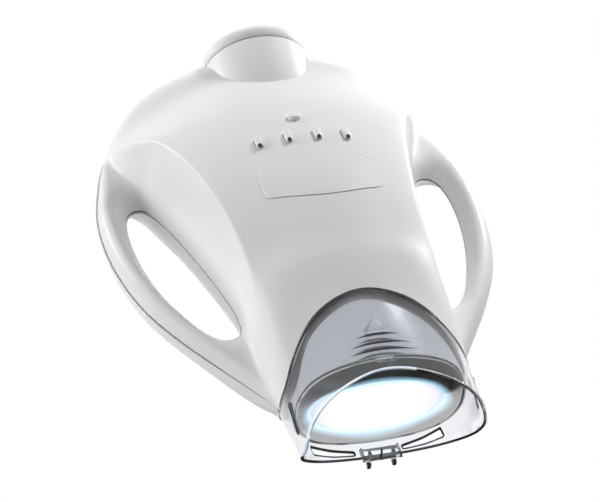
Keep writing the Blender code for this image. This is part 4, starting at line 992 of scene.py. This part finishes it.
for face in visor.data.polygons:  # the rim gets the painted glow above, where light leaves forwards
    if face.material_index and face.center.z > guideParts["clearAbove"] and face.center.y < guideParts["rimFrom"]:
        face.material_index = rimFinish(face.center)
guidePiece(visor, angle=30)
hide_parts("light_guide")

collar = {"half": noseHalf - 0.0042, "height": 0.0300, "middle": 0.0138, "front": 0.1545, "sweep": 0.0035,
          "power": 2.6, "wall": 0.0009, "inset": 0.0036, "tuck": 0.006}
frontRing = ovalRing(collar)
waistRing = mixRings(edgeRing(collar["inset"], 0), frontRing, guide["waistShare"])
tongue = cage("silverCollar", [edgeRing(collar["inset"], -collar["tuck"]), waistRing, frontRing], inside=inside)
shell(tongue, collar["wall"])
standFor(tongue, "head", "nose_collar", silverLacquer)

mirrorRing = {"wall": 0.0015, "gap": 0.0003, "mouth": {"half": 0.0377, "height": 0.0168, "middle": 0.0078,
                                                      "front": 0.1505, "sweep": 0, "power": 2}}
inset = collar["wall"] + 2 * mirrorRing["gap"]
outerRing = ovalRing({**collar, "half": collar["half"] - inset, "height": collar["height"] - inset,
                      "front": collar["front"] - mirrorRing["gap"]})
bezel = cage("metallisedReflector", [outerRing, ovalRing(mirrorRing["mouth"])], inside=inside)
shell(bezel, mirrorRing["wall"])
standFor(bezel, "head", "reflector", metallised)

lens = {"half": 0.0374, "height": 0.0165, "middle": 0.0078, "bulge": 0.0036, "flatness": 5,
        "y": -0.1500, "thickness": 0.003}
bpy.ops.mesh.primitive_uv_sphere_add(segments=96, ring_count=48, radius=1)
shadeDotAndLens = bpy.context.object
shadeDotAndLens.name = "litWindow"
with editing(shadeDotAndLens, everything=True):
    bpy.ops.mesh.bisect(plane_co=(0, 0, 0), plane_no=(0, 0, 1), clear_inner=True, use_fill=False)
    bpy.ops.mesh.select_all(action="DESELECT")
for vert in shadeDotAndLens.data.vertices:
    x, y, z = vert.co
    rise = max(1 - math.hypot(x, y) ** lens["flatness"], 0) ** 0.5
    vert.co = (x * lens["half"], lens["y"] - rise * lens["bulge"], lens["middle"] + y * lens["height"])
with editing(shadeDotAndLens):
    bpy.ops.mesh.select_mode(type="EDGE")
    bpy.ops.mesh.select_non_manifold(extend=False)
    bpy.ops.mesh.extrude_region_move(TRANSFORM_OT_translate={"value": (0, lens["thickness"], 0)})
    bpy.ops.mesh.edge_face_add()
faceOutwards(shadeDotAndLens)
standFor(shadeDotAndLens, "head", "lens", litDiffuser, angle=50)
print("stage 9: guide, collar, reflector and lens made")

finishes = {
    "swivel_shaft": turnedSteel, "shaft_nut": zincPlated, "friction_washer": silicone, "bush_outer": acetal,
    "bush_inner": acetal, "lens_gasket": silicone, "led_board": circuitBoard, "control_board": circuitBoard,
    "heat_sink": extrudedAluminium, "chassis": rolledAluminium, "fan_frame": fanNylon, "fan_rotor": fanNylon,
}
for node, finish in finishes.items():
    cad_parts[node].material_slots[0].material = finish
print("stage 10: carried-over solids finished")

studio = {
    "floorZ": -0.75, "floorSize": 12, "worldLevel": 0.10, "aim": (0, -0.15, -0.02), "distance": 1.5,
    "cardPlace": (0.06, -0.30, -0.45), "cardSize": 0.6, "cardShade": "#141414", "cardGlow": 0.6,
    "lamps": [  # name, azimuth from +X towards the neck, elevation, power and size
        ("keyLamp", 45, 35, 13.5, 0.35), ("topLamp", 45, 65, 3.2, 0.9), ("rightLamp", 25, 5, 6.5, 0.9),
        ("leftLamp", 180, 5, 10.5, 0.9), ("leftBackLamp", 135, 18, 8.5, 0.9), ("crownGlint", 48, 40, 0.9, 0.2),
        ("rightGlint", 47, -1, 6, 0.2), ("leftGlint", 134, 2, 3, 0.2)],
}


def stagePlane(name, size, place, finish):
    bpy.ops.mesh.primitive_plane_add(size=size, location=place)
    plane = bpy.context.object
    plane.name = name
    plane.data.materials.append(finish)
    return plane


def whiteWhereSeen(plain, glowKind, output):  # white for the camera, in mirrors and through glass
    tree = output.id_data
    path = addNode(tree, "LightPath")
    rays = [path.outputs[f"Is {kind} Ray"] for kind in ("Camera", "Glossy", "Transmission")]
    either = addNode(tree, "Math", {0: rays[0], 1: rays[1]}, operation="MAXIMUM")
    seen = addNode(tree, "Math", {0: either, 1: rays[2]}, operation="MAXIMUM")
    white = addNode(tree, glowKind, {"Color": linear("#FFFFFF"), "Strength": 1.0})
    mixer = addNode(tree, "MixShader", {0: seen, 1: plain, 2: white})
    feed(output, {"Surface": mixer})


felt, tree, shader = startFinish("shadeCardBelowFelt", {
    "Base Color": linear(studio["cardShade"]), "Roughness": 1.0,
    "Emission Color": linear(studio["cardShade"]), "Emission Strength": studio["cardGlow"]})
card = stagePlane("shadeCardBelow", studio["cardSize"], studio["cardPlace"], felt)
# Seen only in mirrors and glass, as a photographer's black card is.
card.visible_camera = card.visible_diffuse = card.visible_shadow = False

paper, tree, shader = startFinish("matPaperFloor", {"Base Color": linear("#F4F4F4"), "Roughness": 0.9})
whiteWhereSeen(shader, "Emission", tree.nodes["Material Output"])
stagePlane("floor", studio["floorSize"], (0, 0, studio["floorZ"]), paper)

world = bpy.data.worlds.new("softStudio")
bpy.context.scene.world = world
world.use_nodes = True
plain = world.node_tree.nodes["Background"]
feed(plain, {"Color": linear("#FFFFFF"), "Strength": studio["worldLevel"]})
whiteWhereSeen(plain, "Background", world.node_tree.nodes["World Output"])

for name, azimuth, elevation, power, size in studio["lamps"]:
    away = Vector((1, 0, 0))
    away.rotate(Euler((0, -math.radians(elevation), math.radians(azimuth))))
    bpy.ops.object.light_add(type="AREA", location=Vector(studio["aim"]) + away * studio["distance"])
    lamp = bpy.context.object
    lamp.name = name
    lamp.rotation_euler = away.to_track_quat("Z", "Y").to_euler()
    lamp.data.shape, lamp.data.size, lamp.data.energy = "DISK", size, power
    glint = "Glint" in name
    lamp.visible_glossy = lamp.visible_transmission = glint  # soft lamps leave no disc on the guide
    lamp.visible_diffuse = not glint
bpy.context.scene.view_settings.view_transform = "Standard"
print("stage 11: studio lit")
